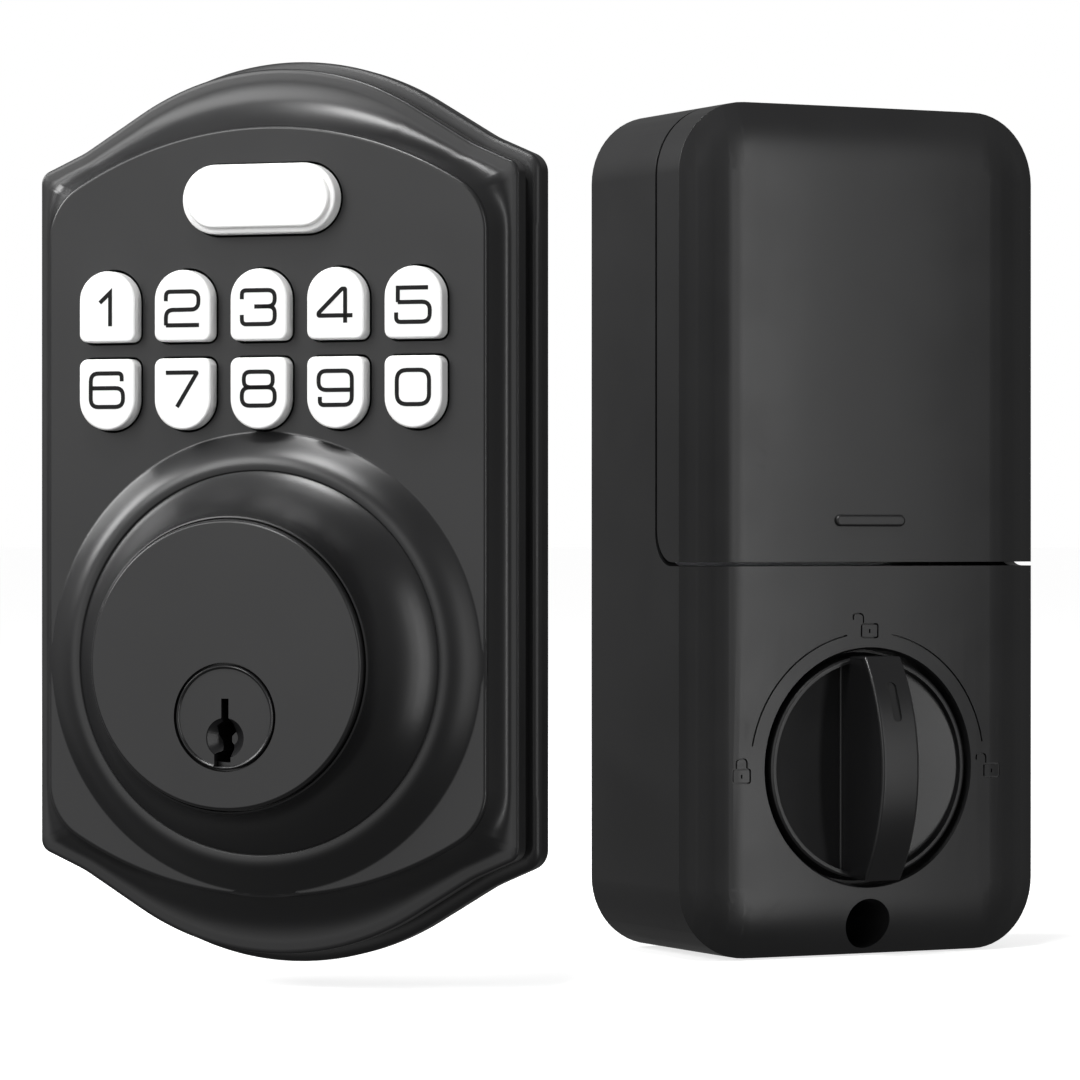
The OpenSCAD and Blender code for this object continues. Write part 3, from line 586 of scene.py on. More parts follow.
def board_finish(name, mapped):
    """Green mask over copper tracks; mapped for a board that stands in the room unit."""
    made = finish(name, (0.008, 0.06, 0.028), (0.014, 0.1, 0.045), 0.3, broad=300, bump=0.1, Coat_Weight=0.3)
    tree = made.node_tree
    shader = tree.nodes["Principled BSDF"]
    tracks, tint = tree.nodes.new("ShaderNodeTexBrick"), tree.nodes.new("ShaderNodeMix")
    tracks.inputs["Scale"].default_value = TRACKS
    tracks.inputs["Mortar Size"].default_value = 0.06
    tracks.inputs["Color1"].default_value = (0, 0, 0, 1)
    tracks.inputs["Color2"].default_value = (0.15, 0.15, 0.15, 1)
    tracks.inputs["Mortar"].default_value = (1, 1, 1, 1)
    swap = tree.nodes.new("ShaderNodeMapping")
    swap.inputs["Rotation"].default_value = (math.radians(90), 0, 0)
    start = room_mapping(tree) if mapped else tree.nodes.new("ShaderNodeTexCoord")
    tree.links.new(start.outputs["Vector" if mapped else "Object"], swap.inputs["Vector"])
    tree.links.new(swap.outputs["Vector"], tracks.inputs["Vector"])
    tint.data_type = "RGBA"
    tint.inputs["B"].default_value = (0.05, 0.22, 0.09, 1)
    tree.links.new(tracks.outputs["Color"], tint.inputs["Factor"])
    tree.links.new(shader.inputs["Base Color"].links[0].from_socket, tint.inputs["A"])
    tree.links.new(tint.outputs["Result"], shader.inputs["Base Color"])
    return made


keypad_board = board_finish("green_board_keypad", False)
room_board = board_finish("green_board_room", True)
print("tracks", TRACKS, "to the metre")

# %% Bands on the cells
CELL_HALF = 24.5 * MM


def cell_finish(name, flipped):
    """A sleeve with a dark band and bare ends; flipped for a cell that lies the other way."""
    made = finish(name, (0.02, 0.07, 0.24), (0.03, 0.1, 0.3), 0.28, broad=300, bump=0.03, Coat_Weight=0.5)
    tree = made.node_tree
    shader = tree.nodes["Principled BSDF"]
    along, bands = tree.nodes.new("ShaderNodeSeparateXYZ"), tree.nodes.new("ShaderNodeValToRGB")
    place = tree.nodes.new("ShaderNodeMapRange")
    place.inputs["From Min"].default_value = CELL_HALF if flipped else -CELL_HALF
    place.inputs["From Max"].default_value = -CELL_HALF if flipped else CELL_HALF
    tree.links.new(room_mapping(tree).outputs["Vector"], along.inputs["Vector"])
    tree.links.new(along.outputs["X"], place.inputs["Value"])
    tree.links.new(place.outputs["Result"], bands.inputs["Fac"])
    bands.color_ramp.interpolation = "CONSTANT"
    steps = [(0, (0.5, 0.5, 0.52)), (0.03, (0.02, 0.07, 0.26)), (0.72, (0.55, 0.56, 0.58)),
             (0.75, (0.012, 0.014, 0.02)), (0.975, (0.5, 0.5, 0.52))]
    ramp = bands.color_ramp.elements
    for _ in steps[2:]:
        ramp.new(0.5)
    for element, (spot, colour) in zip(ramp, steps):
        element.position = spot
        element.color = (*colour, 1)
    worn = tree.nodes.new("ShaderNodeMix")
    worn.data_type = "RGBA"
    worn.inputs["Factor"].default_value = 0.12
    tree.links.new(bands.outputs["Color"], worn.inputs["A"])
    tree.links.new(shader.inputs["Base Color"].links[0].from_socket, worn.inputs["B"])
    tree.links.new(worn.outputs["Result"], shader.inputs["Base Color"])
    return made


cells = {True: cell_finish("cell_sleeve_left", True), False: cell_finish("cell_sleeve_right", False)}
print("cell finishes", len(cells))

# %% [markdown]
# The CAD parts whose shape is right keep it and only take a finish, picked by the record's
# material slot. They are never moved or reshaped.

# %% Finishes on the CAD parts
by_slot = {"black_casting": coat, "black_plate": edge_coat, "black_moulding": moulded,
           "black_turn": turn_coat, "white_key": key_white, "rubber_black": rubber_and_painted_shade,
           "silicone": silicone, "brass_turned": brass, "steel_plain": steel,
           "spring_steel": spring, "chip_black": chip, "led_cream": cream,
           "socket_white": socket_nylon, "gear_nylon": natural, "frame_black": glass_nylon}
for name, part in nodes.items():
    if slot_of[name] == "board_green":
        chosen = keypad_board if name == "keypad_board" else room_board
    elif slot_of[name] == "cell_sleeve":
        chosen = cells[name in ("battery_2", "battery_4")]
    else:
        chosen = by_slot[slot_of[name]]
    part.data.materials.clear()
    part.data.materials.append(chosen)
print("finishes", len(bpy.data.materials))

# %% [markdown]
# ## The escutcheon
# The front of the keypad unit is one zinc casting: a flat panel with a rounded bead, a hollow
# cove that runs from the panel down to the crown-shaped rim and meets itself in a mitre at
# each ear, and a turned collar round the cylinder. The cove is lofted between the two
# outlines, and the loft goes on round the rim and up inside, so the casting gets its real
# wall. A cut block with bevels could not give the cove, whose curve changes all the way round.

# %% Panel, bead, cove and rim
panel_z, rim_z, back_z = 15.7, 11.3, 7.5
BEAD = 0.6
WALL_IN = 1.6
COVE_TOP, COVE_IN, COVE_STEPS, COVE_BEND = panel_z - 1, -0.75, 14, 2.2
RIM_EDGE = ((-0.4, 0.06), (-0.15, 0.22), (-0.03, 0.45), (0, 0.75))
panel_outline = whole(panel_quarter())
rings = list(reversed(fillet(panel_outline, panel_z, BEAD, 6)))
rings.append(at(panel_outline, COVE_TOP))
for i in range(1, COVE_STEPS + 1):
    t = i / COVE_STEPS
    depth = COVE_TOP - (COVE_TOP - rim_z) * (1 - (1 - t) ** COVE_BEND)
    rings.append(at(whole(blend(panel_quarter(), crown_quarter(COVE_IN), t)), depth))
rings += [at(whole(crown_quarter(grow)), rim_z - down) for grow, down in RIM_EDGE]
rings += [at(whole(crown_quarter(0)), 8.0), at(whole(crown_quarter(-0.3)), back_z)]
rings += [at(whole(crown_quarter(-1.6)), back_z), at(whole(crown_quarter(-1.6)), back_z + 2)]
inner_panel = offset(panel_outline, -WALL_IN)
rings += [at(inner_panel, back_z + 2.4), at(inner_panel, panel_z - 2)]
escutcheon = loft("front_casting", rings)
print("casting points", len(escutcheon.data.vertices))

# %% [markdown]
# The collar starts as a soft bell that rises out of the panel, dips into a crease and climbs
# as a hollow cone to the cylinder's face. Its profile is a list of radii and heights, as for
# a lathe, and a turned ring keeps its highlights round and even. A screw modifier would turn
# it too, but its seam would have to be merged.

# %% The turned collar
face_lo, face_hi = reach("cylinder_body", KEYPAD)
disc_x, disc_y, disc_z = (face_lo.x + face_hi.x) / 2, (face_lo.y + face_hi.y) / 2, face_hi.z
disc_r = (face_hi.x - face_lo.x) / 2
BARREL = 17.25
COLLAR_R, CREASE_R, BELL = 33.4, 27.4, 3.1
BELL_STEPS, CONE_STEPS, CREASE_IN, CONE_SWEEP = 14, 16, 0.25, 88


def collar_profile():
    """Radii and heights from the bore, under the foot, over bell and cone, and back."""
    foot = [(BARREL, 9.2), (22, 9.2), (24, panel_z - 2.2), (COLLAR_R - 1, panel_z - 2.2),
            (COLLAR_R, panel_z - 1.2)]
    bell = []
    for u in (i / BELL_STEPS for i in range(BELL_STEPS + 1)):
        rise = BELL * math.sin(math.radians(100 * u)) ** 1.5
        bell.append((COLLAR_R - (COLLAR_R - CREASE_R) * u, panel_z - 0.15 + rise))
    base, top = bell[-1][1] - CREASE_IN, disc_z - 1.5
    wide, lip = CREASE_R - CREASE_IN, disc_r + 0.55
    cone = []
    for u in (i / CONE_STEPS for i in range(CONE_STEPS + 1)):
        way = math.sin(math.radians(CONE_SWEEP * u)) / math.sin(math.radians(CONE_SWEEP))
        cone.append((wide - (wide - lip) * way, base + (top - base) * u ** 1.25))
    edge = [(lip - 0.1, top + 0.22), (lip - 0.3, top + 0.3), (lip - 0.36, top + 0.15),
            (lip - 0.36, top - 1.2)]
    return foot + bell + cone + edge + [(BARREL, top - 1.2)]


def ring_solid(name, profile, cx, cy, steps=160):
    """A turned shape with a bore: the last ring is bridged back to the first."""
    piece = turned(name, profile, cx, cy, steps)
    pick(piece)
    bpy.ops.object.mode_set(mode="EDIT")
    bpy.ops.mesh.select_all(action="DESELECT")
    shape = bmesh.from_edit_mesh(piece.data)
    for face in shape.faces:
        face.select = len(face.verts) > 4
    bmesh.update_edit_mesh(piece.data)
    bpy.ops.mesh.delete(type="ONLY_FACE")
    bpy.ops.mesh.select_all(action="DESELECT")
    bpy.ops.mesh.select_non_manifold(extend=False)
    bpy.ops.mesh.bridge_edge_loops()
    bpy.ops.mesh.select_all(action="SELECT")
    bpy.ops.mesh.normals_make_consistent(inside=False)
    bpy.ops.object.mode_set(mode="OBJECT")
    return piece


collar = ring_solid("collar", collar_profile(), disc_x, disc_y)
bore = prism("bore", circle(disc_x, disc_y, BARREL + 0.02), 0, 40)
weld(escutcheon, collar)
cut(escutcheon, bore)
print("casting with collar", len(escutcheon.data.polygons))

# %% [markdown]
# ## The keys
# Ten keys and the lozenge button stand in windows of the panel. The outline of a key is an
# arch over a small-cornered foot, and the second row hangs the other way up. The CAD keys
# give each place, and the size of a face is the CAD key less its hidden lip.

# %% Key outlines and windows
KEY_W, KEY_H, LIP, KEY_GAP, FOOT_R = 8.6, 10.2, 0.9, 0.35, 1.2
UPPER_ROW = "12345"


def key_outline(cx, cy, grow, upright):
    """An arch over a foot with small corners, or the same upside down."""
    w, r = KEY_W + 2 * grow, FOOT_R + grow
    low, high = -KEY_H / 2 - grow, KEY_H / 2 + grow - w / 2
    points = arc(0, high, w / 2, 0, 180, 28)
    points += arc(-w / 2 + r, low + r, r, 180, 270, 6) + arc(w / 2 - r, low + r, r, 270, 360, 6)
    if upright:
        return [(cx + x, cy + y) for x, y in points]
    return [(cx + x, cy - y) for x, y in reversed(points)]


def stadium(cx, cy, w, h, grow=0, steps=24):
    """A bar with round ends, w long and h high, grown outwards by grow."""
    r = h / 2 + grow
    x = (w - h) / 2
    return arc(cx + x, cy, r, -90, 90, steps) + arc(cx - x, cy, r, 90, 270, steps)


key_spots = {}
for digit in "1234567890":
    lo, hi = reach("key_" + digit, KEYPAD)
    key_spots[digit] = ((lo.x + hi.x) / 2, (lo.y + hi.y) / 2, lo.z, hi.z)
print("keys", len(key_spots), "of", KEY_W, "by", KEY_H, "mm")

# %% Windows for keys and button
button_lo, button_hi = reach("lock_button", KEYPAD)
button_x, button_y = (button_lo.x + button_hi.x) / 2, (button_lo.y + button_hi.y) / 2
BUTTON_W, BUTTON_H = 23.2, 9.9
openings = [key_outline(x, y, KEY_GAP, digit in UPPER_ROW) for digit, (x, y, _, _) in key_spots.items()]
openings.append(stadium(button_x, button_y, BUTTON_W, BUTTON_H, KEY_GAP))
windows = [prism("window", opening, panel_z - 3, panel_z + 6) for opening in openings]
cut(escutcheon, join(windows, "windows"))
stand(escutcheon, KEYPAD, "escutcheon", coat)

# %% [markdown]
# ## The numerals
# Numerals are printed on the keys in a wide, squared hand. Each is one or two strokes, given
# as corner points that `soften` rounds. Text from a font would not have this shape, and a
# font is another's drawing. A curve with a small flat box as its bevel draws the stroke at an
# even width, and it is turned into a mesh before it joins its key.
#
# Points run from -0.5 to 0.5 across and up the numeral. Then come the rounding, and whether
# the stroke is closed.

# %% Strokes for the numerals
STROKE = 0.6
GLYPH_W, GLYPH_H = 5.0, 4.8
GLYPHS = {
    "1": [([(-0.22, 0.2), (0.1, 0.5), (0.1, -0.5)], 0, False)],
    "2": [([(-0.5, 0.22), (-0.5, 0.5), (0.5, 0.5), (0.5, -0.04), (-0.5, -0.04), (-0.5, -0.5)], 0.24, False),
          ([(-0.5, -0.5), (0.52, -0.5)], 0, False)],
    "3": [([(-0.5, 0.24), (-0.5, 0.5), (0.5, 0.5), (0.5, 0.02), (-0.12, 0.02)], 0.22, False),
          ([(0.1, 0.02), (0.5, 0.02), (0.5, -0.5), (-0.5, -0.5), (-0.5, -0.22)], 0.22, False)],
    "4": [([(0.52, -0.28), (-0.5, -0.28), (-0.5, -0.2), (0.2, 0.5), (0.3, 0.5), (0.3, -0.5)], 0.03, False)],
    "5": [([(0.45, 0.5), (-0.45, 0.5), (-0.45, 0.08)], 0, False),
          ([(-0.45, 0.08), (0.5, 0.08), (0.5, -0.5), (-0.5, -0.5), (-0.5, -0.22)], 0.24, False)],
    "6": [([(0.46, 0.26), (0.46, 0.5), (-0.5, 0.5), (-0.5, -0.5), (0.5, -0.5), (0.5, 0.06),
            (-0.48, 0.06)], 0.24, False)],
    "7": [([(-0.5, 0.5), (0.46, 0.5), (-0.16, -0.52)], 0.05, False)],
    "8": [([(-0.44, 0.5), (0.44, 0.5), (0.44, 0.04), (-0.44, 0.04)], 0.2, True),
          ([(-0.5, 0.04), (0.5, 0.04), (0.5, -0.5), (-0.5, -0.5)], 0.24, True)],
    "9": [([(-0.46, -0.26), (-0.46, -0.5), (0.5, -0.5), (0.5, 0.5), (-0.5, 0.5), (-0.5, -0.06),
            (0.48, -0.06)], 0.24, False)],
    "0": [([(-0.48, 0.5), (0.48, 0.5), (0.48, -0.5), (-0.48, -0.5)], 0.3, True)],
}


print("numerals", len(GLYPHS), "drawn", GLYPH_W, "by", GLYPH_H, "mm, line", STROKE)

# %% Rounding a stroke's corners


def soften(points, r, closed):
    """The same stroke with its corners rounded to r where there is room."""
    spots = [Vector(p) for p in points]
    made = []
    for i, spot in enumerate(spots):
        if r == 0 or (not closed and i in (0, len(spots) - 1)):
            made.append(spot)
            continue
        before, after = spots[i - 1] - spot, spots[(i + 1) % len(spots)] - spot
        room = min(r, before.length * 0.5, after.length * 0.5)
        a, b = spot + before.normalized() * room, spot + after.normalized() * room
        made += [a.lerp(spot, t).lerp(spot.lerp(b, t), t) for t in (j / 6 for j in range(7))]
    return made


print("points in a softened 3:", [len(soften(*stroke)) for stroke in GLYPHS["3"]])

# %% [markdown]
# The nib is a flat box that runs along the stroke, as a chisel does along a line.

# %% Drawing strokes


def draw_strokes(name, strokes, width, depth, z):
    """Strokes as flat ribbons of one width, from depth below z up to z."""
    bpy.ops.object.select_all(action="DESELECT")
    nib_line = bpy.data.curves.new("nib", "CURVE")
    corners = nib_line.splines.new("POLY")
    corners.points.add(3)
    for point, (x, y) in zip(corners.points, ((-1, -1), (1, -1), (1, 1), (-1, 1))):
        point.co = (x * width / 2, y * depth / 2, 0, 1)
    corners.use_cyclic_u = True
    nib = bpy.data.objects.new("nib", nib_line)
    bpy.context.collection.objects.link(nib)
    line = bpy.data.curves.new(name, "CURVE")
    line.dimensions = "2D"
    line.fill_mode = "NONE"
    line.bevel_mode = "OBJECT"
    line.bevel_object = nib
    line.use_fill_caps = True
    for spots, closed in strokes:
        spline = line.splines.new("POLY")
        spline.points.add(len(spots) - 1)
        for point, spot in zip(spline.points, spots):
            point.co = (spot[0], spot[1], 0, 1)
        spline.use_cyclic_u = closed
    drawn = bpy.data.objects.new(name, line)
    bpy.context.collection.objects.link(drawn)
    drawn.location.z = z - depth / 2
    pick(drawn)
    bpy.ops.object.convert(target="MESH")
    bpy.ops.object.transform_apply(location=True, rotation=True, scale=True)
    bpy.data.objects.remove(nib)
    bpy.ops.object.mode_set(mode="EDIT")
    bpy.ops.mesh.select_all(action="SELECT")
    bpy.ops.mesh.remove_doubles(threshold=0.001)
    bpy.ops.mesh.normals_make_consistent(inside=False)
    bpy.ops.object.mode_set(mode="OBJECT")
    return drawn


print("strokes go through", draw_strokes.__name__)

# %% [markdown]
# ## Ten keys
# A key is lofted from its hidden lip up to a rounded top edge. Its sides are white above the
# panel, and below it they are painted black as painted shade, so that the gap round each key
# stays a dark line. The numeral's ink stands a few hundredths proud, as print does. A texture
# could print it without any height, but then it would blur close up.

# %% Key caps
INK_PROUD = 0.03
# Below this height a key's sides are painted black, as painted shade for the gap round the key.
PAINTED_SHADE_Z = panel_z - 0.2
LIP_TALL = 1.15
NUDGE_UPPER, NUDGE_LOWER = -0.4, 0.65


def painted_shade_skirt(cap):
    """White above the panel, and painted black below it, as painted shade in the gap of its window."""
    cap.data.materials.append(key_white)
    cap.data.materials.append(rubber_and_painted_shade)
    for face in cap.data.polygons:
        face.material_index = int(face.center.z < PAINTED_SHADE_Z)
    return cap


for digit, (x, y, low_z, top_z) in key_spots.items():
    upright = digit in UPPER_ROW
    body, lip = key_outline(x, y, 0, upright), key_outline(x, y, LIP, upright)
    shelf_z = low_z + LIP_TALL
    rings = [at(lip, low_z), at(lip, shelf_z), at(body, shelf_z), at(body, PAINTED_SHADE_Z)]
    key = painted_shade_skirt(loft("digit_key_" + digit, rings + fillet(body, top_z - INK_PROUD, 0.32, 5)))
    mid = y + (NUDGE_UPPER if upright else NUDGE_LOWER)
    strokes = []
    for points, r, closed in GLYPHS[digit]:
        spots = [(x + p.x * GLYPH_W, mid + p.y * GLYPH_H) for p in soften(points, r, closed)]
        strokes.append((spots, closed))
    print_on = draw_strokes("print", strokes, STROKE, 0.1, top_z)
    print_on.data.materials.append(ink)
    stand(join([key, print_on], "digit_key_" + digit), KEYPAD, "key_" + digit, key_white)

# %% [markdown]
# ## The lozenge button
# The lozenge button is stepped: a lower shoulder and a raised blank face, both with soft
# edges. It is lofted like a key, with one step more, and gets the same painted black shade on its sides
# below the panel.

# %% The lozenge button
shoulder_z = button_hi.z - 0.6


def lozenge(grow):
    return stadium(button_x, button_y, BUTTON_W, BUTTON_H, grow)


shelf_z = button_lo.z + LIP_TALL
rings = [at(lozenge(LIP), button_lo.z), at(lozenge(LIP), shelf_z), at(lozenge(0), shelf_z)]
rings.append(at(lozenge(0), PAINTED_SHADE_Z))
rings += fillet(lozenge(0), shoulder_z, 0.3, 4) + [at(lozenge(-0.75), shoulder_z)]
rings += fillet(lozenge(-0.8), button_hi.z, 0.35, 5)
# The button's sides below the panel are painted black, as painted shade for the gap round it.
stand(painted_shade_skirt(loft("blank_button", rings)), KEYPAD, "lock_button", key_white)

# %% [markdown]
# ## The cylinder and its plug
# The lock cylinder ends in a round face with a fine rounded edge, set in the collar with a
# thin dark gap. The plug turns in it on its own axis, below the middle of the face. Both are
# turned, then bored, as the maker would: the chambers for the pins run up from the plug into
# the body.

# %% Cylinder body
plug_lo, plug_hi = reach("key_plug", KEYPAD)
plug_x, plug_y, plug_z = (plug_lo.x + plug_hi.x) / 2, (plug_lo.y + plug_hi.y) / 2, plug_hi.z
PLUG_R, FLANGE_R = 6.3, 7.3
PIN_R, PIN_PITCH, PIN_FIRST = 1.45, 3.9, 27
BORE_R, FLANGE_BORE = PLUG_R + 0.05, FLANGE_R + 0.3


def pin_chambers(low, high):
    """Five upright bores, one behind another."""
    bores = []
    for i in range(5):
        z = PIN_FIRST - i * PIN_PITCH
        rings = [[(x + plug_x, y, w + z) for x, w in circle(0, 0, PIN_R, 24)] for y in (high, low)]
        bores.append(loft("chamber", rings))
    return join(bores, "chambers")


profile = [(17, face_lo.z), (17, disc_z - 1.4), (disc_r - 0.12, disc_z - 1.4), (disc_r, disc_z - 1.3),
           (disc_r, disc_z - 0.48), (disc_r - 0.06, disc_z - 0.28), (disc_r - 0.18, disc_z - 0.12),
           (disc_r - 0.34, disc_z - 0.03), (disc_r - 0.5, disc_z)]
cylinder = turned("cylinder_face", profile, disc_x, disc_y, 180)
cut(cylinder, pin_chambers(plug_y + 3, disc_y + 18.5))
groove = rounded_box(5, 6, 0.2, plug_x, disc_y + 16.3, 3)
cut(cylinder, prism("slot", groove, PIN_FIRST - 4.5 * PIN_PITCH, PIN_FIRST + PIN_PITCH / 2))
profile = [(BORE_R, 0), (BORE_R, plug_z - 1.7), (FLANGE_BORE, plug_z - 1.7), (FLANGE_BORE, disc_z - 0.12),
           (FLANGE_BORE + 0.12, disc_z + 1)]
cut(cylinder, turned("plug_bore", profile, plug_x, plug_y))
stand(cylinder, KEYPAD, "cylinder_body", coat)

# %% [markdown]
# The plug's face has a raised rim that catches the light, a round lead-in like a shallow cone
# that guides the key, and the warded keyway, which shows black because it is deep. The keyway
# is really cut, so that it turns and shades as it should. A painted one would look flat.

# %% Key plug
KEYWAY = [(-0.55, 2.6), (0.55, 2.6), (0.55, -0.3), (0.95, -0.8), (0.95, -2), (0.25, -2.7),
          (0.25, -3.5), (0.85, -4.3), (0.85, -6.9), (-1.6, -6.9), (-1.6, -5.1), (-0.75, -4.7),
          (-1.05, -3.4), (-1.5, -2.6), (-1.5, -1.2), (-0.55, -0.6)]
top = plug_z
profile = [(PLUG_R, 6), (PLUG_R, top - 1.35), (FLANGE_R - 0.1, top - 1.35), (FLANGE_R, top - 1.25),
           (FLANGE_R, top - 0.26), (FLANGE_R - 0.08, top - 0.1), (FLANGE_R - 0.2, top),
           (FLANGE_R - 0.32, top), (FLANGE_R - 0.46, top - 0.1), (FLANGE_R - 0.54, top - 0.26)]
plug = turned("turning_plug", profile, plug_x, plug_y)
cut(plug, prism("keyway", [(x + plug_x, y + plug_y) for x, y in KEYWAY], 10.7, top + 1))
profile = [(1.1, top - 2.4), (2.7, top - 0.5), (3.1, top + 0.3)]
cut(plug, turned("lead_in", profile, plug_x, plug_y - 2.9, 72))
cut(plug, pin_chambers(plug_y + 1.5, plug_y + 9))
stand(plug, KEYPAD, "key_plug", coat)

# %% [markdown]
# ## The back plate
# The plate behind the seal has the same crown, a little larger, with rounded edges. From the
# front it is a thin line round the unit. From the back it is a face with its bores: one for
# the tailpiece, one for the cable's grommet, two for the posts and four for screws.

# %% Back plate
PLATE_GROW = plate_hi.x - rim_hi.x
DOOR_EDGE, SEAL_EDGE = 0.5, 1.1
plate_top = plate_hi.z
rings = []
for i in range(6):
    t = math.radians(90 * i / 5)
    outline = whole(crown_quarter(PLATE_GROW - DOOR_EDGE * (1 - math.sin(t))))
    rings.append(at(outline, DOOR_EDGE * (1 - math.cos(t))))
for i in range(7):
    t = math.radians(90 * i / 6)
    outline = whole(crown_quarter(PLATE_GROW - SEAL_EDGE * (1 - math.cos(t))))
    rings.append(at(outline, plate_top - SEAL_EDGE * (1 - math.sin(t))))
plate = loft("door_plate", rings)
cut(plate, prism("pocket", whole(crown_quarter(-3)), 2, plate_top + 1))
SCREW_SPOTS = [(-28.5, 33), (28.5, 33), (0, 84.4), (0, -26.8)]
bosses = [prism("boss", circle(x, y, 5, 48), 1.5, plate_top) for x, y in SCREW_SPOTS]
for boss in bosses:
    weld(plate, boss)
holes = [prism("hole", circle(x, y, r, 48), -1, z) for x, y, r, z in
         [(0, 0, 5.5, 6), (0, -16.2, 4.6, 6), (20, 0, 3.5, 6), (-20, 0, 3.5, 6)]]
holes += [turned("hole", [(2.9, -1), (2.9, 2), (1.5, 2), (1.5, 9)], x, y, 48) for x, y in SCREW_SPOTS]
cut(plate, join(holes, "holes"))
stand(plate, KEYPAD, "back_plate", edge_coat)

# %% [markdown]
# ## The thumbturn unit's shell
# The room unit is a moulded box with straight sides, a crisp crease near the front and a
# pillowed face. The shell is lofted from rounded boxes, hollowed, and given its slight crown
# by cutting the face into strips and lowering them towards the sides. A lattice could bend
# it too, but strips lowered by a plain formula can be checked, and the hollow gets the same
# crown, so that the wall keeps its thickness.

# %% Outer form and hollow
room_lo, room_hi = reach("inner_housing", ROOM)
cover_hi = reach("battery_cover", ROOM)[1]
ROOM_W = room_hi.x - room_lo.x
ROOM_H = cover_hi.y - room_lo.y
room_mid = (cover_hi.y + room_lo.y) / 2
CORNER, SHOULDER_IN, SHOULDER_R = 11, 9.5, 18
FRONT_Z = 32.7
CROWN_DROP = 1.2
CROWN_FROM, CROWN_FADE, STRIPS = 28, 3, 26


def shell(name, thick, low):
    """The outer form moved inwards by thick, from the height low up to its face."""
    w, h = ROOM_W - 2 * thick, ROOM_H - 2 * thick
    centre_z = FRONT_Z - SHOULDER_R
    start = math.degrees(math.acos(SHOULDER_IN / SHOULDER_R))
    rings = [at(rounded_box(w, h, CORNER - thick, 0, room_mid, 14), low)]
    for i in range(13):
        t = math.radians(start + (90 - start) * i / 12)
        inset = SHOULDER_IN - SHOULDER_R * math.cos(t)
        z = centre_z + SHOULDER_R * math.sin(t) - thick
        corner = max(CORNER - thick - inset, 0.4)
        rings.append(at(rounded_box(w - 2 * inset, h - 2 * inset, corner, 0, room_mid, 14), z))
    piece = loft(name, rings)
    pick(piece)
    bpy.ops.object.mode_set(mode="EDIT")
    for i in range(1 - STRIPS // 2, STRIPS // 2):
        bpy.ops.mesh.select_all(action="SELECT")
        bpy.ops.mesh.bisect(plane_co=(i * ROOM_W / STRIPS, 0, 0), plane_no=(1, 0, 0))
    bpy.ops.object.mode_set(mode="OBJECT")
    for vert in piece.data.vertices:
        if vert.co.z > CROWN_FROM:
            share = min(1, (vert.co.z - CROWN_FROM) / CROWN_FADE)
            vert.co.z -= CROWN_DROP * abs(2 * vert.co.x / ROOM_W) ** 3 * share
    return piece


print("room unit", round(ROOM_W, 1), "by", round(ROOM_H, 1), "by", FRONT_Z, "mm")

# %% [markdown]
# ## The seam between cover and housing
# One seam parts the battery cover from the housing. It runs down both sides, bends and then
# turns across the front, so the cover can slide up and off. Both pieces are cut from the same
# hollow shell by one block, which leaves an even gap between them. Two lofts that meet could
# do it, but their faces would never match as well.

# %% Cover and housing
SEAM_Y, SEAM_Z, SEAM_R, SEAM_GAP = 31.4, 21.8, 5, 0.6
WALL = 2


def cover_zone(grow):
    """Everything in front of the seam and above it, as a block across the unit."""
    y0, z0 = SEAM_Y + grow, SEAM_Z + grow
    bend = arc(y0 + SEAM_R, z0 + SEAM_R, SEAM_R, 180, 270, 12)
    outline = bend + [(130, z0), (130, 60), (y0, 60)]
    return loft("zone", [[(x, y, z) for y, z in outline] for x in (-45, 45)])


def hollow_shell(name):
    """The whole unit with a wall all round and an open back."""
    return cut(shell(name, 0, 0), shell("hollow", WALL, -1))


housing = cut(hollow_shell("room_housing"), cover_zone(-SEAM_GAP / 2))
cover = combine(hollow_shell("cell_cover"), cover_zone(SEAM_GAP / 2), "INTERSECT")
round_edges(housing, 0.2)
round_edges(cover, 0.2)
print("housing", len(housing.data.polygons), "cover", len(cover.data.polygons))

# %% [markdown]
# ## The cover's grip bar
# The cover has a small raised bar to push it with. Both ends are round and its edges are
# soft, so it is a lozenge lofted like the key's edge, and welded on as it would be moulded.

# %% Grip bar
GRIP_Y = 38.1
bar_outline = stadium(0, GRIP_Y, 12.4, 1.8)
rings = [at(bar_outline, FRONT_Z - 0.8)] + fillet(bar_outline, cover_hi.z, 0.45, 5)
weld(cover, loft("grip_bar", rings))
stand(cover, ROOM, "battery_cover", moulded, 32)

# %% [markdown]
# ## Inside the housing
# The housing keeps a shelf under the cells, a round cup for the thumbturn and a tube down to
# the lower screw. They are welded in as solids first and then bored, so that each bore goes
# through its wall and the face at once. The tube is first clipped to the shell's inside.

# %% Shelf, cup and screw tube
turn_lo, turn_hi = reach("thumbturn", ROOM)
TURN_R = (turn_hi.x - turn_lo.x) / 2
CUP_GAP, CUP_FLOOR, STEM_R = 0.5, 28, 6
CUP_R = TURN_R + CUP_GAP
ACCESS_Y, ACCESS_R = -24.3, 3.7
weld(housing, prism("shelf", rounded_box(ROOM_W - 3.8, 2.1, 0.3, 0, SEAM_Y - 1.35, 2), 15.2, 29.2))
weld(housing, prism("cup_wall", circle(0, 0, CUP_R + 1.6, 128), CUP_FLOOR - 1.6, FRONT_Z - 1.2))
tube = prism("tube", circle(0, ACCESS_Y, ACCESS_R + 1.3, 48), 3.5, FRONT_Z + 1)
weld(housing, combine(tube, shell("core", 0.8, 3), "INTERSECT"))
profile = [(STEM_R, 1), (STEM_R, CUP_FLOOR), (CUP_R, CUP_FLOOR), (CUP_R, FRONT_Z - 0.75),
           (CUP_R + 0.12, FRONT_Z - 0.45), (CUP_R + 0.9, FRONT_Z + 1)]
cut(housing, turned("cup", profile, 0, 0, 160))
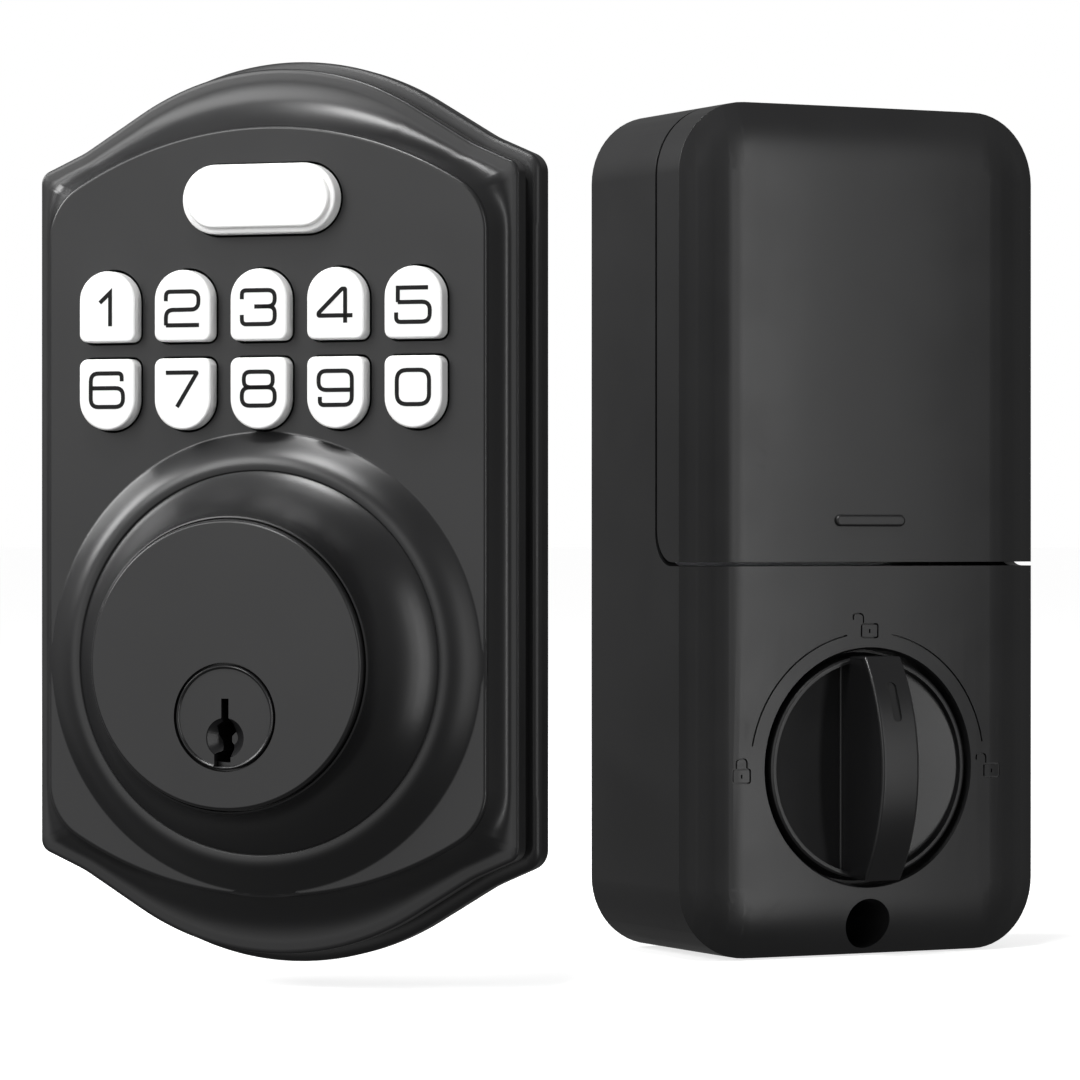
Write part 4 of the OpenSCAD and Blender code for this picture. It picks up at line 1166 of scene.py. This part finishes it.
profile = [(1.75, 1), (1.75, 5), (3.3, 5), (3.3, 7.2), (ACCESS_R, 7.2), (ACCESS_R, FRONT_Z - 1.2),
           (ACCESS_R + 0.5, FRONT_Z + 0.4)]
cut(housing, turned("access", profile, 0, ACCESS_Y, 72))
print("housing with cup", len(housing.data.polygons))

# %% [markdown]
# ## Engraved marks
# Round the thumbturn two fine arcs join three padlock signs. They are engraved, so the same
# strokes that print the numerals cut grooves here. Real grooves hold a shadow at any angle,
# and a bump map this fine would not.

# %% Engraved arcs and padlocks
SIGN_R = 21.4
GROOVE, GROOVE_TALL, GROOVE_DEPTH = 0.26, 1.2, 0.75


def padlock(cx, cy, tilt, opened):
    """A body and a shackle, as strokes; an opened shackle swings to one side."""
    body = [(-1.45, -1.75), (1.45, -1.75), (1.45, 0.35), (-1.45, 0.35)]
    shackle = [(-0.9, 0.45), (-0.9, 1.95), (0.9, 1.95), (0.9, 0.45)]
    if opened:
        shackle = [(-1.45 + 0.35, 0.45), (-1.1, 1.95), (-2.9, 1.95), (-2.9, 1.0)]
    spin = Matrix.Rotation(math.radians(tilt), 2)
    strokes = []
    for points, closed, r in ((body, True, 0.35), (shackle, False, 0.85)):
        strokes.append(([spin @ p + Vector((cx, cy)) for p in soften(points, r, closed)], closed))
    strokes.append(([Vector((cx, cy - 0.45)), Vector((cx, cy - 1.05))], False))
    return strokes


marks = padlock(-SIGN_R - 0.9, -0.2, 0, False)
marks += padlock(0, SIGN_R + 0.4, 0, True)
marks += padlock(SIGN_R + 0.9, -0.2, 0, True)
for a, b in ((170, 101), (79, 10)):
    marks.append(([Vector(p) for p in arc(0, 0, SIGN_R - 0.6, a, b, 40)], False))
for mark in marks:
    cut(housing, draw_strokes("groove", [mark], GROOVE, GROOVE_TALL, FRONT_Z + GROOVE_TALL - GROOVE_DEPTH))
stand(housing, ROOM, "inner_housing", moulded, 32)

# %% [markdown]
# ## The thumbturn
# A round base sits in the cup with an even gap. Its face is scooped down on both sides
# towards a half-moon grip, which stands up across the middle, with a low rib along each side
# of its foot and a pointer let into its crest. The grip's outline is drawn from the side and
# lofted across with rounded edges. A solid block cut by two discs would give the same moon,
# but its edges would stay sharp.

# %% Base, scoops and grip
BASE_Z = FRONT_Z - 0.2
BASE_R = TURN_R - 0.4
GRIP_HALF = 3.3
GRIP_ARC = 29
MARK_Y = 10.4
crest = turn_hi.z
profile = [(STEM_R - 0.05, CUP_FLOOR - 5.5), (STEM_R - 0.05, CUP_FLOOR + 0.4),
           (TURN_R - 0.15, CUP_FLOOR + 0.4), (TURN_R, CUP_FLOOR + 0.55), (TURN_R, CUP_FLOOR + 1),
           (BASE_R, CUP_FLOOR + 1.5), (BASE_R, BASE_Z - 0.5), (BASE_R - 0.1, BASE_Z - 0.2),
           (BASE_R - 0.3, BASE_Z - 0.04), (BASE_R - 0.5, BASE_Z)]
base = turned("thumb_knob", profile, 0, 0, 180)
scoop_z, slope = FRONT_Z - 2.9, math.tan(math.radians(8.5))
for side in (-1, 1):
    inner_x = side * (GRIP_HALF - 0.2)
    disc = circle(0, 0, BASE_R - 0.9, 160)
    bite = prism("bite", disc, 20, 60)
    outer_x, outer_z = side * 20, scoop_z + (20 - GRIP_HALF) * slope
    section = [(inner_x, scoop_z), (outer_x, outer_z), (outer_x, 60), (inner_x, 60)]
    wedge = loft("wedge", [[(x, y, z) for x, z in section] for y in (-20, 20)])
    cut(base, combine(bite, wedge, "INTERSECT"))
print("scooped base", len(base.data.polygons))

# %% Grip, ribs and pointer


def grip_side(inset):
    """The half-moon seen from the side, as (y, z), moved inwards by inset."""
    centre_z, r = crest - GRIP_ARC, GRIP_ARC - inset
    half = BASE_R - 0.1 - inset
    lean = math.degrees(math.acos(half / r))
    return arc(0, centre_z, r, lean, 180 - lean, 40) + [(-half, CUP_FLOOR + 1.5), (half, CUP_FLOOR + 1.5)]


EDGE = 0.55
rings = []
for side in (-1, 1):
    turns = [math.radians(90 * i / 5) for i in range(6)]
    for t in (turns if side < 0 else reversed(turns)):
        x = side * (GRIP_HALF - EDGE + EDGE * math.cos(t))
        rings.append([(x, y, z) for y, z in grip_side(EDGE * (1 - math.sin(t)))])
grip = loft("grip", rings)
weld(base, grip)
for side in (-1, 1):
    rib_line = rounded_box(0.8, 2 * BASE_R - 2.6, 0.35, side * (GRIP_HALF + 0.15), 0, 4)
    weld(base, loft("rib", [at(rib_line, scoop_z - 0.5)] + fillet(rib_line, scoop_z + 0.5, 0.3, 4)))
cut(base, prism("drive", rounded_box(6.1, 6.1, 0.2, 0, 0, 2), 10, 27.2))
pointer = loft("pointer", [at(stadium(0, 0, 6.4, 1.5), z) for z in (-0.4, 2)])
mark_z = crest - GRIP_ARC + math.sqrt(GRIP_ARC ** 2 - MARK_Y ** 2)
lie = Matrix.Rotation(-math.asin(MARK_Y / GRIP_ARC), 4, "X")
quarter = Matrix.Rotation(math.radians(90), 4, "Z")
pointer.matrix_world = Matrix.Translation((0, MARK_Y, mark_z)) @ lie @ quarter
pick(pointer)
bpy.ops.object.transform_apply(location=True, rotation=True, scale=True)
cut(base, pointer)
stand(base, ROOM, "thumbturn", turn_coat, 32)

# %% [markdown]
# ## Floor
# The floor is pale and wide, and it lies just below the object. It glows a little, so that it
# meets the white background without a line. A black satin part takes all its shading from
# what it reflects, so the floor is hidden from the object's reflections, and it throws no
# shadow on the light that comes from below.

# %% Floor
FLOOR_GLOW = 0.74
floor_z = cad_box[0].z - 0.3 * MM
bpy.ops.object.select_all(action="DESELECT")
bpy.ops.mesh.primitive_circle_add(vertices=96, radius=40, fill_type="NGON", location=(0, 0, floor_z))
floor = bpy.context.object
floor.name = "floor"
paper = finish("pale_floor", (0.8, 0.8, 0.8), (0.82, 0.82, 0.82), 0.8, fine=900, bump=0.02)
glow = paper.node_tree.nodes["Principled BSDF"].inputs
glow["Emission Color"].default_value = (1, 1, 1, 1)
glow["Emission Strength"].default_value = FLOOR_GLOW
floor.data.materials.append(paper)
floor.visible_glossy = False
floor.visible_diffuse = False
floor.visible_shadow = False
print("floor at", round(floor_z / MM, 2), "mm")

# %% [markdown]
# ## World
# The camera sees plain white, and the object sees a studio. `lobe` gives light that grows
# towards one direction. The first is the bright front wall, the second dims it below, and
# the third adds a soft patch above on the left. An image of a studio could light it too, but
# three numbers for each lobe can be tuned one at a time.

# %% World: white to the camera, a studio to the object
world = bpy.data.worlds.new("studio")
bpy.context.scene.world = world
world.use_nodes = True
tree = world.node_tree
add, link = tree.nodes.new, tree.links.new
backdrop = tree.nodes["Background"]
backdrop.inputs["Color"].default_value = (1, 1, 1, 1)
backdrop.inputs["Strength"].default_value = 1.0
room_light, choose = add("ShaderNodeBackground"), add("ShaderNodeMixShader")
seen, where = add("ShaderNodeLightPath"), add("ShaderNodeTexCoord")


def lobe(toward, low, high, dark, bright):
    """Light that grows from dark to bright as a ray turns towards a direction."""
    facing, ramp = add("ShaderNodeVectorMath"), add("ShaderNodeMapRange")
    facing.operation = "DOT_PRODUCT"
    facing.inputs[1].default_value = toward
    ramp.interpolation_type = "SMOOTHSTEP"
    link(where.outputs["Generated"], facing.inputs[0])
    link(facing.outputs["Value"], ramp.inputs["Value"])
    for name, stop in zip(("From Min", "From Max", "To Min", "To Max"), (low, high, dark, bright)):
        ramp.inputs[name].default_value = stop
    return ramp.outputs["Result"]


amount = add("ShaderNodeMath")
amount.operation = "MULTIPLY_ADD"
link(lobe((-0.31, -0.95, 0), 0.7, 0.99, 0.12, 1.4), amount.inputs[0])
link(lobe((0, 0, 1), -0.75, 0.35, 0.3, 1.1), amount.inputs[1])
link(lobe((-0.7, -0.2, 0.68), 0.55, 1, 0.12, 0.4), amount.inputs[2])
link(amount.outputs[0], room_light.inputs["Strength"])
link(seen.outputs["Is Camera Ray"], choose.inputs["Fac"])
link(room_light.outputs[0], choose.inputs[1])
link(backdrop.outputs[0], choose.inputs[2])
link(choose.outputs[0], tree.nodes["World Output"].inputs["Surface"])
print("world nodes", len(tree.nodes))

# %% [markdown]
# ## Soft boxes
# Soft boxes then place the highlights: one for the general light, one above for the tops of
# the rings, one at the left for the coves, and a tall thin one for the line down the right
# edge. Each is given by its direction from the object, its distance and its size, so that it
# is moved like a lamp on a boom. Point lamps would leave small hard spots in a satin coat.

# %% Soft boxes
middle = (cad_box[0] + cad_box[1]) / 2


def soft_box(name, azimuth, elevation, distance, width, tall, watts):
    """An area lamp that looks at the middle of the object and isn't seen itself."""
    a, e = math.radians(azimuth), math.radians(elevation)
    out = Vector((math.sin(a) * math.cos(e), -math.cos(a) * math.cos(e), math.sin(e)))
    lamp = bpy.data.lights.new(name, "AREA")
    lamp.shape = "RECTANGLE"
    lamp.size, lamp.size_y, lamp.energy = width, tall, watts
    held = bpy.data.objects.new(name, lamp)
    bpy.context.collection.objects.link(held)
    held.location = middle + out * distance
    held.rotation_mode = "QUATERNION"
    held.rotation_quaternion = (-out).to_track_quat("-Z", "Y")
    held.visible_camera = False
    return held


soft_box("key_light", -32, 32, 1.3, 0.6, 0.6, 7)
soft_box("top_light", -8, 62, 1.0, 0.3, 0.26, 6)
soft_box("left_box", -72, 28, 1.1, 0.4, 0.4, 6)
soft_box("right_strip", 67, 2, 1.2, 0.08, 1.2, 3.6)
print("lamps", len(bpy.data.lights))

# %% [markdown]
# ## Camera
# The camera stands level and far away, with a long lens, as for a catalogue picture. Its
# place is given across and along its own view, which keeps the turn and the shift apart. A
# target to track would tilt it, and then the upright edges would lean.

# %% Camera
VIEW = math.radians(18.1)
AWAY, ASIDE, EYE_Z = 690, 34.34, 24.7
across = Vector((math.cos(VIEW), math.sin(VIEW), 0))
along = Vector((-math.sin(VIEW), math.cos(VIEW), 0))
lens = bpy.data.cameras.new("camera")
lens.lens, lens.sensor_width = 158.3, 36
lens.clip_start, lens.clip_end = 0.01, 200
camera = bpy.data.objects.new("camera", lens)
bpy.context.collection.objects.link(camera)
camera.location = (across * ASIDE - along * AWAY + Vector((0, 0, EYE_Z))) * MM
camera.rotation_euler = (math.radians(90), 0, VIEW)
bpy.context.scene.camera = camera
bpy.context.scene.view_settings.view_transform = "Standard"
print("camera", [round(c, 4) for c in camera.location])

# %% [markdown]
# ## Last step
# The view layer is brought up to date before the frame is finished. The visual model has
# to stay inside the CAD model's box.

# %% Update
bpy.context.view_layer.update()
